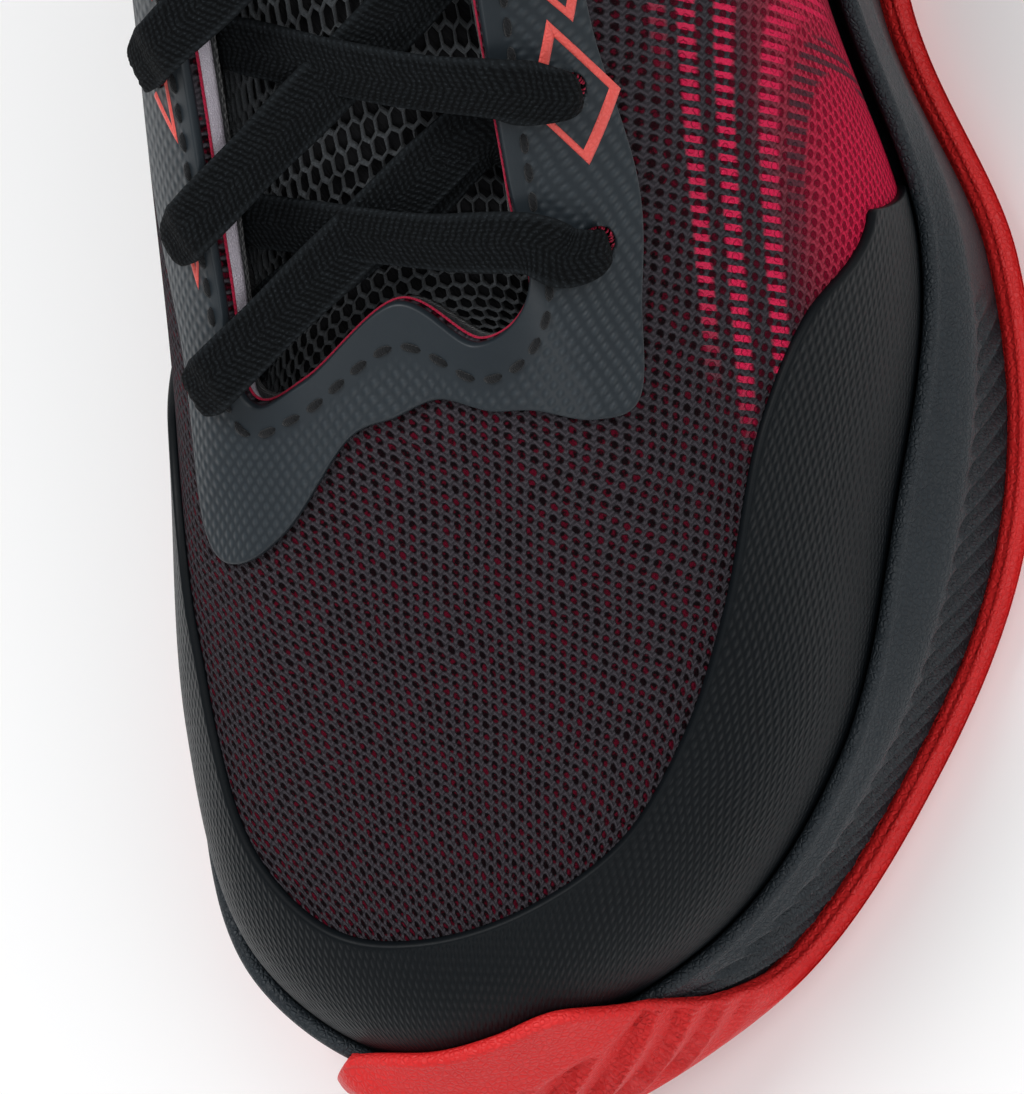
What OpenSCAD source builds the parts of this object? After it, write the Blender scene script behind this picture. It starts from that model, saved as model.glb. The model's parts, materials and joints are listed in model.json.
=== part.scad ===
// Left basketball high top: cupped foam midsole, rubber outsole with toe wrap,
// knit upper with film overlays, padded collar, separate tongue, flat lace.
// Toe towards -Y, heel towards +Y, lateral side +X, ground at z = 0.

/* [Upper layers] */
// Thickness of the knit upper and heel panel
knit_t = 1.3; // [0.9:0.1:1.4]
// Thickness of the film overlays
film_t = 0.8; // [0.5:0.1:0.9]
// Depth of the collar padding beyond the lining's own layer
collar_pad = 6; // [4:0.5:7]

/* [Sole] */
// Thickness of the rubber outsole
rubber_t = 4; // [3:0.5:5]
// Thickness of the cup wall that holds the upper
cup_t = 2.4; // [2:0.2:3]
// Thickness of the sockliner under the foot
sockliner_t = 4.5; // [3:0.5:6]

/* [Lacing] */
// Width of the flat lace
lace_w = 8; // [6:0.5:8]
// Thickness of the flat lace
lace_t = 1.4; // [1:0.1:1.6]
// Diameter of a punched eyelet
eyelet_d = 5; // [4.5:0.5:6]

/* [Loops] */
// Width of the heel pull loop
heel_loop_w = 16; // [12:1:20]
// Width of the tongue pull loop
tongue_loop_w = 14; // [10:1:18]

/* [Hidden] */

gap = 0.4;
// Depths under the outer face of the upper, outermost layer first
foam_out = -knit_t - gap;
foam_in = foam_out - 1.5;
lining_out = foam_in - gap;
lining_in = lining_out - 1;
under_lining = lining_in - gap;
cup_in = gap + film_t + 0.3;

// Stations round the shoe from the heel, along the lateral side to the toe
// and back along the medial side. Each has the outsole edge, the feather
// edge, two surface handles and the top line.
STATIONS = [
    [[-2, 152, 9], [-2, 139, 34], [-2, 156, 74], [-2, 116, 106], [-2, 130, 153]],
    [[27, 141, 6], [22, 128, 33], [30, 140, 72], [17, 112, 106], [16, 117, 152]],
    [[40, 106, 5], [32, 99, 31], [43, 104, 66], [25, 94, 108], [25, 91, 143]],
    [[41, 60, 5], [33, 55, 28], [45, 58, 62], [29, 62, 108], [28, 62, 139]],
    [[44, 8, 6], [36, 8, 25], [47, 12, 56], [36, 22, 108], [20, 36, 146]],
    [[61, -30, 6], [50, -30, 22], [58, -33, 48], [40, -18, 88], [18, -4, 117]],
    [[64, -66, 6], [48, -68, 21], [54, -70, 44], [40, -54, 72], [18, -30, 99]],
    [[53, -100, 6], [42, -99, 22], [47, -102, 44], [36, -86, 62], [19, -44, 91]],
    [[32, -132, 8], [25, -124, 24], [27, -130, 46], [20, -108, 60], [11, -50, 86]],
    [[-3, -152, 13], [-6, -140, 26], [-7, -147, 48], [-4, -118, 60], [0, -45, 87]],
    [[-33, -140, 12], [-31, -130, 25], [-34, -134, 47], [-26, -112, 60], [-13, -55, 84]],
    [[-48, -111, 9], [-41, -104, 23], [-45, -106, 44], [-36, -90, 62], [-21, -57, 83]],
    [[-53, -70, 6], [-44, -66, 21], [-47, -68, 44], [-37, -54, 76], [-22, -41, 92]],
    [[-47, -20, 6], [-39, -22, 23], [-47, -20, 54], [-40, -12, 94], [-22, -10, 111]],
    [[-44, 34, 6], [-33, 32, 27], [-48, 36, 60], [-34, 32, 110], [-22, 36, 146]],
    [[-43, 88, 5], [-32, 84, 30], [-43, 88, 64], [-28, 84, 108], [-28, 74, 140]],
    [[-30, 140, 6], [-24, 127, 33], [-31, 139, 72], [-20, 112, 106], [-19, 117, 152]]];
n_st = len(STATIONS);
toe_u = 9;

// Height of the cup rim, as a share of the way up the upper, per station
RIM = [0.09, 0.09, 0.10, 0.11, 0.13, 0.06, 0.10, 0.10, 0.05,
    0.08, 0.12, 0.10, 0.10, 0.10, 0.12, 0.11, 0.09];
// Depth of the footbed under the feather edge: deeper where the shank lies
BED = [3, 3, 4.8, 5.2, 5.2, 4.2, 3, 3, 3, 3, 3, 3, 3, 4.4, 5.2, 5.2, 3.6];

// Upper edge of the outsole's toe bumper, every quarter station
BUMP_U = 8;
BUMP = [0.05, 0.12, 0.235, 0.233, 0.215, 0.185, 0.145, 0.12, 0.10];

// Upper edge of the toe overlay, every half station
MUD_U = 5;
MUD = [0.29, 0.46, 0.545, 0.583, 0.582, 0.54, 0.49, 0.468, 0.462,
    0.457, 0.505, 0.585, 0.63, 0.61, 0.50, 0.30];
// Lower edge of the eyestay overlay, every half station
STAY_U = 3.5;
STAY = [0.84, 0.84, 0.83, 0.83, 0.78, 0.787, 0.80, 0.87, 0.93, 0.95, 0.95,
    0.932, 0.93, 0.88, 0.835, 0.797, 0.80, 0.79, 0.76, 0.80, 0.82, 0.82];

// Eyelets as [station, share of the way up], lowest first
EYE_L = [[5.92, 0.86], [5.32, 0.88], [4.83, 0.89], [4.44, 0.90], [4.08, 0.90]];
EYE_M = [[11.57, 0.90], [12.24, 0.90], [12.85, 0.89], [13.24, 0.90], [13.6, 0.90]];
rows = len(EYE_L);

// ---- curves and surfaces ----
function cr(a, b, c, d, t) = 0.5 * (2 * b + (c - a) * t + (2 * a - 5 * b + 4 * c - d) * t * t
    + (3 * b - a - 3 * c + d) * t * t * t);
function wrap(i) = ((i % n_st) + n_st) % n_st;
// Smooth value of a per-station list
function ring_at(list, u) = let (i = floor(u), t = u - i)
    cr(list[wrap(i - 1)], list[wrap(i)], list[wrap(i + 1)], list[wrap(i + 2)], t);
function station(u, k) = let (i = floor(u), t = u - i)
    cr(STATIONS[wrap(i - 1)][k], STATIONS[wrap(i)][k],
       STATIONS[wrap(i + 1)][k], STATIONS[wrap(i + 2)][k], t);
// Smooth value of a list given every half station from u0
function half_at(list, u0, u) = let (x = max(0, min(len(list) - 1.001, 2 * (u - u0))),
    i = floor(x), n = len(list) - 1)
    cr(list[max(0, i - 1)], list[i], list[min(n, i + 1)], list[min(n, i + 2)], x - i);
function bez(a, b, c, d, v) = let (w = 1 - v)
    w * w * w * a + 3 * w * w * v * b + 3 * w * v * v * c + v * v * v * d;
function unit(a) = a / norm(a);

function upper(u, v) = bez(station(u, 1), station(u, 2), station(u, 3), station(u, 4), v);
function upper_n(u, v) = let (e = 0.002, w = max(e, min(1 - e, v)))
    unit(cross(upper(u, w + e) - upper(u, w - e), upper(u + e, w) - upper(u - e, w)));
function on_upper(u, v, t) = upper(u, v) + t * upper_n(u, v);

// The tongue lies under both throat edges: s runs up it, w from medial to lateral
tongue_depth = -8.4;
edge_v = 0.86; // where the tongue's side edges lie under the upper
arch = 1.6; // how much higher the tongue's middle lies than its sides
waist = 12; // how fast it narrows where it leaves the throat
flare = 16; // how fast it widens again towards its top
tongue_rise = [0, 17, 29];
tongue_slope = [0, 56, 20];
tongue_start = -0.22;
tongue_split = 1.12;
tongue_end = 1.9;
function tongue_u_l(s) = 6.9 - 3.0 * max(0, min(s, 1));
function tongue_u_m(s) = 11.1 + 2.7 * max(0, min(s, 1));
function tongue(s, w) = let (
    ul = tongue_u_l(s), um = tongue_u_m(s), above = max(0, s - 1),
    narrow = [waist * max(0, min(0.3, s - 0.85)) - flare * max(0, s - 1.35), 0, 0],
    flat = [0, 0, 10 * max(0, min(1, (s - 1.15) / 0.35))],
    dip = [0, 0, -arch * exp(-pow(s / 0.3, 2))],
    l0 = on_upper(ul, edge_v, tongue_depth), l1 = on_upper(ul, 1, tongue_depth + arch),
    m0 = on_upper(um, edge_v, tongue_depth), m1 = on_upper(um, 1, tongue_depth + arch),
    reach = 0.22 * min(1, 2 * max(0, s)))
    bez(m0 + flat + narrow, m1 + reach * (m1 - m0), l1 + reach * (l1 - l0), l0 + flat - narrow, w)
        + dip + above * tongue_rise + min(0, s) * tongue_slope;
function tongue_n(s, w) = let (es = 0.14, e = 0.004)
    unit(cross(tongue(s, w + e) - tongue(s, w - e), tongue(s + es, w) - tongue(s - es, w)));
function on_tongue(s, w, t) = tongue(s, w) + t * tongue_n(s, w);

// ---- solids ----
// Common steps round the shoe, so that stacked layers share their facets
half_n = 36;
ring_n = 2 * half_n;
function step_u(k) = let (turn = floor(k / ring_n), j = k - turn * ring_n) turn * n_st +
    (j <= half_n ? j * toe_u / half_n : toe_u + (j - half_n) * (n_st - toe_u) / half_n);
function steps(u0, u1) = concat([u0],
    [for (k = [0 : 2 * ring_n]) if (step_u(k) > u0 + 0.07 && step_u(k) < u1 - 0.07) step_u(k)],
    [u1]);

// A four-sided face as two triangles, cut from its first or second corner
function cut_first(f) = [[f[0], f[1], f[2]], [f[0], f[2], f[3]]];
function cut_second(f) = [[f[0], f[1], f[3]], [f[1], f[2], f[3]]];

// Loops of equal size joined into one closed solid. The diagonals on a
// layer's two faces run the same way, so stacked layers stay apart.
module skin_loops(loops) {
    m = len(loops[0]);
    n = len(loops);
    h = m / 2;
    polyhedron(points = [for (l = loops) for (p = l) p],
        faces = concat(
            [for (j = [0 : n - 2]) for (i = [0 : m - 1]) let (k = (i + 1) % m,
                f = [j * m + i, (j + 1) * m + i, (j + 1) * m + k, j * m + k])
                for (t = i < h ? cut_first(f) : cut_second(f)) t],
            [for (i = [0 : h - 2]) for (t = cut_first([i, i + 1, m - 2 - i, m - 1 - i])) t],
            [for (i = [0 : h - 2]) let (b = (n - 1) * m)
                for (t = cut_first([b + m - 1 - i, b + m - 2 - i, b + i + 1, b + i])) t]),
        convexity = 8);
}

// Swell of the collar padding at a height on the upper
function swell(v) = collar_pad * sin(180 * max(0, min(1, (v - 0.62) / 0.38)));

// A layer of the upper between two edges, from depth t_in out to t_out
module layer(us, lo, hi, t_in, t_out, nv = 6, swell_in = 0, swell_out = 0) {
    skin_loops([for (j = [0 : len(us) - 1]) let (u = us[j])
        concat(
            [for (i = [0 : nv]) let (v = lo[j] + (hi[j] - lo[j]) * i / nv)
                on_upper(u, v, t_out - swell_out * swell(v))],
            [for (i = [nv : -1 : 0]) let (v = lo[j] + (hi[j] - lo[j]) * i / nv)
                on_upper(u, v, t_in - swell_in * swell(v))])]);
}

function same(us, v) = [for (u = us) v];

// Rings round the whole shoe, stacked from the lowest to the last, capped
// with rungs between the lateral and medial sides
module stack(rings) {
    n = len(rings);
    top = (n - 1) * ring_n;
    rungs = concat([[0, 1, ring_n - 1]],
        [for (k = [1 : half_n - 2])
            for (t = cut_first([k, k + 1, ring_n - k - 1, ring_n - k])) t],
        [[half_n - 1, half_n, half_n + 1]]);
    polyhedron(points = [for (r = rings) for (p = r) p],
        faces = concat(
            [for (i = [0 : n - 2]) for (k = [0 : ring_n - 1]) let (q = (k + 1) % ring_n)
                for (t = cut_first([i * ring_n + k, i * ring_n + q,
                    (i + 1) * ring_n + q, (i + 1) * ring_n + k])) t],
            [for (f = rungs) [for (x = f) top + x]],
            [for (f = rungs) [f[2], f[1], f[0]]]),
        convexity = 8);
}
US = [for (k = [0 : ring_n - 1]) step_u(k)];
// A point moved sideways towards the shoe's middle line
function inset(p, d) = let (c = [-2, max(-85, min(100, p[1])), p[2]], a = c - p,
    l = max(norm(a), 0.01)) p + a * d / l;
function with_z(p, z) = [p[0], p[1], z];

// ---- sole ----
function edge(u) = station(u, 0);
function rim(u, t) = on_upper(u, ring_at(RIM, u), t);
// 1 where the outsole climbs the toe up to the cup rim, 0 elsewhere
function toe_wrap(u) = exp(-pow(abs((u - 8.85) / 0.77), 6));
function mix(a, b, w) = (1 - w) * a + w * b;
// Thickness of the toe bumper beside the cup, and over the upper above it
wrap_t = 2.6;
bump_t = 2.2;
function ground(u) = edge(u)[2] - 5;

function sole_z(u) = max(0, ground(u)) + rubber_t;
function wall_foot(u) = with_z(inset(edge(u), 4.8), sole_z(u) + gap);
function wrap_top(u, t) = rim(u, cup_in + cup_t + 2 * gap + t) + [0, 0, 2];
function bump_top(u, t) = on_upper(u, half_at(BUMP, 0, 2 * (u - BUMP_U)), cup_in + t);
function over_rim(u) = on_upper(u, ring_at(RIM, u) + 0.045, cup_in + 0.1);
// The outsole's upper rings lie low on the sole's edge, stand up beside the
// cup as the bumper begins, and then reach over its rim
function climb(u, low, beside, over) = let (w = toe_wrap(u))
    mix(low, mix(beside, over, max(0, 2 * w - 1)), min(1, 2 * w));
function lip(u, d, z) = with_z(inset(edge(u), d), sole_z(u) + z);

module outsole() color([0.86, 0.2, 0.2]) stack([
    [for (u = US) with_z(inset(edge(u), 9), max(0, ground(u) - 3))],
    [for (u = US) with_z(inset(edge(u), 2), max(0, ground(u) - 1.5))],
    [for (u = US) edge(u)],
    [for (u = US) let (w = toe_wrap(u))
        mix(lip(u, 0.3, 1), mix(edge(u), wrap_top(u, wrap_t), 0.45) + [0, -1.2 * w, 1], w)],
    [for (u = US) mix(lip(u, 0.8, 1.5), wrap_top(u, wrap_t), toe_wrap(u))],
    [for (u = US) climb(u, lip(u, 1.4, 1.8), wrap_top(u, 0.8 * wrap_t) + [0, 0, 0.6],
        bump_top(u, bump_t))],
    [for (u = US) climb(u, lip(u, 2.4, 1.8), wrap_top(u, 0.3 * wrap_t) + [0, 0, 0.6],
        bump_top(u, 0.1))],
    [for (u = US) climb(u, lip(u, 3, 1.7), wrap_top(u, 0.1) + [0, 0, 0.3], over_rim(u))],
    [for (u = US) mix(lip(u, 3.6, 1.6), wrap_top(u, 0), toe_wrap(u))],
    [for (u = US) lip(u, 4.2, 0)],
    [for (u = US) lip(u, 9, 0)]]);

module midsole() color([0.13, 0.15, 0.18]) stack([
    [for (u = US) with_z(inset(edge(u), 9.4), sole_z(u) + gap)],
    [for (u = US) wall_foot(u)],
    [for (u = US) let (a = wall_foot(u), r = rim(u, cup_in + cup_t))
        mix(with_z(inset(edge(u), 4.1), sole_z(u) + 2.6), 0.8 * a + 0.2 * r, toe_wrap(u))],
    [for (u = US) let (a = wall_foot(u), r = rim(u, cup_in + cup_t))
        mix(0.55 * with_z(inset(edge(u), 2.4), 15) + 0.45 * r + [0, 0, 1],
            0.4 * a + 0.6 * r, toe_wrap(u))],
    [for (u = US) rim(u, cup_in + cup_t)],
    [for (u = US) rim(u, cup_in)],
    [for (u = US) on_upper(u, 0.01, cup_in)],
    [for (u = US) with_z(inset(station(u, 1), 0.5), station(u, 1)[2] - ring_at(BED, u))]]);

board_top = -0.8;
board_t = 1.8;
module strobel_board() color([0.75, 0.73, 0.68]) stack([
    [for (u = US) with_z(inset(station(u, 1), 2.4), station(u, 1)[2] + board_top - board_t)],
    [for (u = US) with_z(inset(station(u, 1), 2.4), station(u, 1)[2] + board_top)]]);

function shank_edge(u) = let (p = station(u, 1)) [max(-20, min(20, p[0] * 0.55)), p[1], p[2]];
module shank_plate() color([0.1, 0.1, 0.1]) {
    lat = [2.1, 2.5, 3, 3.5, 4, 4.3];
    med = [15.05, 14.72, 14.35, 13.95, 13.5, 13.28];
    low = board_top - board_t - gap - 1.6;
    skin_loops([for (i = [0 : len(lat) - 1]) let (a = shank_edge(lat[i]), b = shank_edge(med[i]))
        [a + [0, 0, low], a + [0, 0, low + 1.2], b + [0, 0, low + 1.2], b + [0, 0, low]]]);
}

module sockliner() color([0.12, 0.12, 0.13]) stack([
    for (z = [-0.3, sockliner_t]) [for (u = US)
        let (p = on_upper(u, 0.03, under_lining - 0.3)) with_z(p, station(u, 1)[2] + z)]]);

// ---- upper ----
knit_a = 2.6;
knit_b = 14.4;
throat_a = 3.9;
throat_b = 13.9;

module eyelet_holes() {
    for (e = concat(EYE_L, EYE_M)) {
        n = upper_n(e[0], e[1]);
        translate(on_upper(e[0], e[1], -7))
            rotate([0, acos(n[2]), atan2(n[1], n[0])]) cylinder(d = eyelet_d, h = 10, $fn = 10);
    }
}

module knit_upper() color([0.24, 0.1, 0.13]) difference() {
    us = steps(knit_a, knit_b);
    layer(us, same(us, 0), same(us, 1), -knit_t, 0, 8);
    eyelet_holes();
}

module heel_panel() color([0.14, 0.15, 0.18]) {
    us = steps(knit_b + 0.03, knit_a + n_st - 0.03);
    layer(us, same(us, 0), same(us, 1), -knit_t, 0, 8);
}

module toe_overlay() color([0.15, 0.18, 0.21]) {
    us = steps(4.8, 12.9);
    top = [for (u = us) u < MUD_U ? 0.05 + (u - 4.8) * 1.2 :
        u > 12.5 ? 0.3 - (u - 12.5) * 0.6 : half_at(MUD, MUD_U, u)];
    layer(us, same(us, 0.01), top, gap + 0.1, gap + film_t, 6);
}

module eyestay_overlay() color([0.15, 0.18, 0.21]) difference() {
    us = steps(throat_a, throat_b);
    layer(us, [for (u = us) half_at(STAY, STAY_U, u)], same(us, 1), gap, gap + film_t, 3);
    eyelet_holes();
}

module heel_cup() color([0.1, 0.11, 0.13]) {
    us = steps(15.2, 18.8);
    layer(us, [for (u = us) 0.16], [for (u = us) 0.24 + 0.14 * cos((u - 17) * 45)],
        gap, gap + 2, 3);
}

module toe_puff() color([0.8, 0.78, 0.7]) {
    us = steps(7.1, 11.1);
    layer(us, same(us, 0.06), same(us, 0.42), foam_out - 0.9, foam_out, 4);
}

module heel_counter() color([0.8, 0.78, 0.7]) {
    us = steps(15, 19);
    layer(us, same(us, 0.06), same(us, 0.52), foam_in, foam_out - 0.2, 6);
}

module throat_foam() color([0.93, 0.93, 0.93]) difference() {
    us = steps(throat_a + 0.05, throat_b - 0.05);
    layer(us, same(us, 0.82), same(us, 0.985), foam_in, foam_out, 2);
    eyelet_holes();
}

module vamp_lining() color([0.08, 0.08, 0.09]) difference() {
    us = steps(throat_a, throat_b);
    layer(us, same(us, 0.04), same(us, 1), lining_in, lining_out, 7);
    eyelet_holes();
}

module collar_padding() color([0.85, 0.85, 0.8]) {
    us = steps(throat_b + 0.05, throat_a + n_st - 0.05);
    layer(us, same(us, 0.63), same(us, 0.985), foam_in + 0.2, foam_out, 8, 1, 0);
}

module collar_lining() color([0.09, 0.09, 0.1]) {
    us = steps(throat_b + 0.02, throat_a + n_st - 0.02);
    layer(us, same(us, 0.04), same(us, 1), lining_in, lining_out, 12, 1, 1);
}

// ---- tongue ----
module tongue_layer(s0, s1, t_in, t_out, edge_w) {
    ns = max(3, round((s1 - s0) * 11));
    nw = 8;
    skin_loops([for (j = [0 : ns]) let (s = s0 + (s1 - s0) * j / ns)
        concat([for (i = [0 : nw]) on_tongue(s, edge_w + (1 - 2 * edge_w) * i / nw, t_out)],
            [for (i = [nw : -1 : 0]) on_tongue(s, edge_w + (1 - 2 * edge_w) * i / nw, t_in)])]);
}
// The fold line runs between the lower and the upper half
low_end = tongue_split - 0.07;
top_start = tongue_split + 0.07;
// Inner depth, outer depth and side margin of each of its layers
MESH = [-1, 0, 0];
PAD = [-4.4, -1.4, 0.04];
LINER = [-5.6, -4.8, 0.03];
module tongue_mesh() color([0.07, 0.07, 0.08])
    tongue_layer(tongue_start, low_end, MESH[0], MESH[1], MESH[2]);
module tongue_foam() color([0.3, 0.3, 0.32])
    tongue_layer(tongue_start + 0.04, low_end, PAD[0], PAD[1], PAD[2]);
module tongue_lining() color([0.1, 0.1, 0.11])
    tongue_layer(tongue_start, low_end, LINER[0], LINER[1], LINER[2]);
module tongue_top_mesh() color([0.07, 0.07, 0.08])
    tongue_layer(top_start, tongue_end, MESH[0], MESH[1], MESH[2]);
module tongue_top_foam() color([0.3, 0.3, 0.32])
    tongue_layer(top_start, tongue_end, PAD[0], PAD[1], PAD[2]);
module tongue_top_lining() color([0.1, 0.1, 0.11])
    tongue_layer(top_start, tongue_end, LINER[0], LINER[1], LINER[2]);

// A flat band bent into a loop, across the X axis, hinged at its foot
module web_loop(width, rise, depth, band) {
    rotate([90, 0, 90]) linear_extrude(width, center = true) difference() {
        hull() {
            translate([0, 1]) square([depth, 2], center = true);
            translate([0, rise - depth / 2]) circle(d = depth, $fn = 24);
        }
        hull() {
            translate([0, 3]) square([depth - 2 * band, 2], center = true);
            translate([0, rise - depth / 2]) circle(d = depth - 2 * band, $fn = 24);
        }
    }
}

heel_loop_depth = 9.5;
heel_loop_at = on_upper(0, 0.84, gap) + [0, heel_loop_depth / 2 + 0.6, 0];
module heel_pull_loop() color([0.8, 0.12, 0.2])
    translate(heel_loop_at) rotate([-19, 0, 0]) web_loop(heel_loop_w, 30, heel_loop_depth, 1.4);

tongue_loop_depth = 6;
tongue_lean = -atan(tongue_rise[1] / tongue_rise[2]);
tongue_loop_at = on_tongue(1.5, 0.5, 3.5 * gap + tongue_loop_depth / 2);
module tongue_pull_loop() color([0.8, 0.12, 0.2])
    translate(tongue_loop_at) rotate([tongue_lean, 0, 0])
        web_loop(tongue_loop_w, 19, tongue_loop_depth, 1.2);

// ---- lace ----
// Each point is [place, width direction, share of the full width]. A strap
// runs straight, seen from above, from eyelet a over its throat edge, and
// under the other edge up through eyelet b.
top_t = gap + film_t + 2.1;
low_t = lining_in - 1.9;
function cross_z(a, b) = a[0] * b[1] - a[1] * b[0];
// Where the throat edge between stations lo and hi meets the line from a to b
function meets(a, b, lo, hi, n = 16) = let (m = (lo + hi) / 2)
    n == 0 ? m : cross_z(b - a, upper(m, 1) - a) * cross_z(b - a, upper(lo, 1) - a) > 0
        ? meets(a, b, m, hi, n - 1) : meets(a, b, lo, m, n - 1);
function lat_side(e) = e[0] < toe_u;
function edge_u(e, a, b) = lat_side(e) ? meets(a, b, throat_a - 0.4, 7.6)
    : meets(a, b, 10.4, throat_b + 0.4);
function lace_pt(u, v, t, d, sgn, share) =
    [on_upper(u, v, t), sgn * unit(cross(upper_n(u, v), d)), share];
function strap(a, b, sgn, lift) = let (
    pa = upper(a[0], a[1]), pb = upper(b[0], b[1]), d = unit(pb - pa),
    ua = edge_u(a, pa, pb), ub = edge_u(b, pa, pb),
    p = on_upper(ua, 1, top_t + 0.3), q = on_upper(ub, 1, low_t),
    w = sgn * unit(cross([0, -0.55, 0.83], d)), up = [0, -0.55, 0.83])
    [lace_pt(a[0], a[1], top_t, d, sgn, 0.6),
     lace_pt((a[0] + ua) / 2, (a[1] + 1) / 2, top_t + 0.2, d, sgn, 1),
     lace_pt(ua, 1, top_t + 0.3, d, sgn, 1),
     [0.72 * p + 0.28 * q + up * lift, w, 1], [0.45 * p + 0.55 * q + up * lift * 0.9, w, 1],
     [0.2 * p + 0.8 * q + up * lift * 0.3, w, 1],
     lace_pt(ub, 1, low_t, d, sgn, 0.95),
     lace_pt((b[0] + ub) / 2, (b[1] + 1) / 2, low_t - 0.1, d, sgn, 0.7),
     lace_pt(b[0], b[1], low_t, d, sgn, 0.42), lace_pt(b[0], b[1], -1.5, d, sgn, 0.38)];
// The last crossing runs inside, down between the lining and the foot
TUCK_L = [4.3, 0.56];
TUCK_M = [13.42, 0.56];
function tucked(b, tuck, d, sgn) = [lace_pt(b[0], 0.9, low_t, d, sgn, 0.9),
    lace_pt((b[0] + tuck[0]) / 2, 0.78, low_t - 0.3, d, sgn, 0.8),
    lace_pt(tuck[0], 0.66, low_t - 0.3, d, sgn, 0.6),
    lace_pt(tuck[0], tuck[1] + 0.01, low_t - 0.3, d, sgn, 0.3)];
function strand(first, second, r, sgn, lift_a, lift_b, tuck_a, tuck_b) =
    let (a = first[r], b = second[r + 1], s = strap(a, b, sgn, lift_a))
    r >= rows - 2 ? concat([for (i = [0 : 6]) s[i]],
        tucked(b, tuck_b, unit(upper(b[0], b[1]) - upper(a[0], a[1])), sgn)) :
        concat(s, strand(second, first, r + 1, -sgn, lift_b, lift_a, tuck_b, tuck_a));

lace_section = [[1, -0.3], [1, 0.3], [0.8, 1], [-0.8, 1], [-1, 0.3], [-1, -0.3], [-0.8, -1], [0.8, -1]];
module ribbon(route) {
    n = len(route);
    function tangent(i) = unit(route[min(n - 1, i + 1)][0] - route[max(0, i - 1)][0]);
    skin_loops([for (i = [0 : n - 1]) let (
        t = tangent(i), w0 = route[i][1], w = unit(w0 - (w0 * t) * t), h = cross(t, w),
        a = lace_w / 2 * route[i][2], b = lace_t / 2)
        [for (c = lace_section)
            route[i][0] + a * c[0] * w + b * c[1] * h]]);
}

lift_over = 1.6;
lift_under = -0.8;
lat_up = strand(EYE_L, EYE_M, 0, -1, lift_over, lift_under, TUCK_L, TUCK_M);
med_up = strand(EYE_M, EYE_L, 0, 1, lift_under, lift_over, TUCK_M, TUCK_L);
function back(list) = [for (i = [len(list) - 1 : -1 : 0]) list[i]];
bar_lift = [0, -0.8, 1.8];
bar = let (a = EYE_M[0], b = EYE_L[0], d = unit(upper(b[0], 1) - upper(a[0], 1)),
    w = unit(cross([0, -0.55, 0.83], d)),
    p = on_upper(a[0], 1, low_t), q = on_upper(b[0], 1, low_t))
    [lace_pt(a[0], a[1], -1.5, d, 1, 0.38), lace_pt(a[0], a[1], low_t + 0.4, d, 1, 0.42),
     lace_pt(a[0], 1, low_t, d, 1, 0.9),
     [0.65 * p + 0.35 * q + bar_lift, w, 1], [0.35 * p + 0.65 * q + bar_lift, w, 1],
     lace_pt(b[0], 1, low_t, d, 1, 0.9),
     lace_pt(b[0], b[1], low_t + 0.4, d, 1, 0.42), lace_pt(b[0], b[1], -1.5, d, 1, 0.38)];
lace_route = concat(back(med_up), bar, lat_up);
module shoelace() color([0.05, 0.05, 0.055]) ribbon(lace_route);

aglet_d = 3;
aglet_len = 22;
module aglets() color([0.05, 0.05, 0.05]) {
    for (tuck = [TUCK_L, TUCK_M]) {
        top = on_upper(tuck[0], tuck[1], low_t - 0.4);
        n = unit(on_upper(tuck[0], tuck[1] - 0.15, low_t - 1.4) - top);
        translate(top) rotate([0, acos(n[2]), atan2(n[1], n[0])])
            cylinder(d = aglet_d, h = aglet_len, $fn = 24);
    }
}

outsole();
midsole();
shank_plate();
strobel_board();
sockliner();
knit_upper();
heel_panel();
toe_overlay();
eyestay_overlay();
heel_cup();
toe_puff();
heel_counter();
throat_foam();
vamp_lining();
collar_padding();
collar_lining();
tongue_mesh();
tongue_foam();
tongue_lining();
tongue_top_mesh();
tongue_top_foam();
tongue_top_lining();
tongue_pull_loop();
heel_pull_loop();
shoelace();
aglets();
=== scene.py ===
import bmesh
import bpy
import json
import math
import numpy as np
from mathutils import Matrix, Vector

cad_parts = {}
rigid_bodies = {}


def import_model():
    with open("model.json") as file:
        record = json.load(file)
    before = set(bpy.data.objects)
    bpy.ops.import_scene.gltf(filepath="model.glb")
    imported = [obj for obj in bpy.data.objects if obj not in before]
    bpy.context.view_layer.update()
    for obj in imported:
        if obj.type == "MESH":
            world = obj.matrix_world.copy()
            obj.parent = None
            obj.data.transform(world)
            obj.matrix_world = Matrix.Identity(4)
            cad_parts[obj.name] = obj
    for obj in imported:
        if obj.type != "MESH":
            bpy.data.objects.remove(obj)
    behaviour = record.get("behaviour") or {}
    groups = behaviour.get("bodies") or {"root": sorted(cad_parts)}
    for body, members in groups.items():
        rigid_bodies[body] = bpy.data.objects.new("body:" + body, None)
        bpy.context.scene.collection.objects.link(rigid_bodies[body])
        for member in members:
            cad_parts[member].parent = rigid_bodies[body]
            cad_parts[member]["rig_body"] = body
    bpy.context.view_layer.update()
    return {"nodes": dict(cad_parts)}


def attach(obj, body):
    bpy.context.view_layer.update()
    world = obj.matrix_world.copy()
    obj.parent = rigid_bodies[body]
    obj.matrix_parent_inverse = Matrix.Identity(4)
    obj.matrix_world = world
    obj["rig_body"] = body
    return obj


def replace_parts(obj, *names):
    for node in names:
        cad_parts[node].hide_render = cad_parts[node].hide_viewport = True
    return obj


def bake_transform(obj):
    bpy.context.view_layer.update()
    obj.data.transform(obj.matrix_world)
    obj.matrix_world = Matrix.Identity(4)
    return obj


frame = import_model()
MM = 0.001

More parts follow.
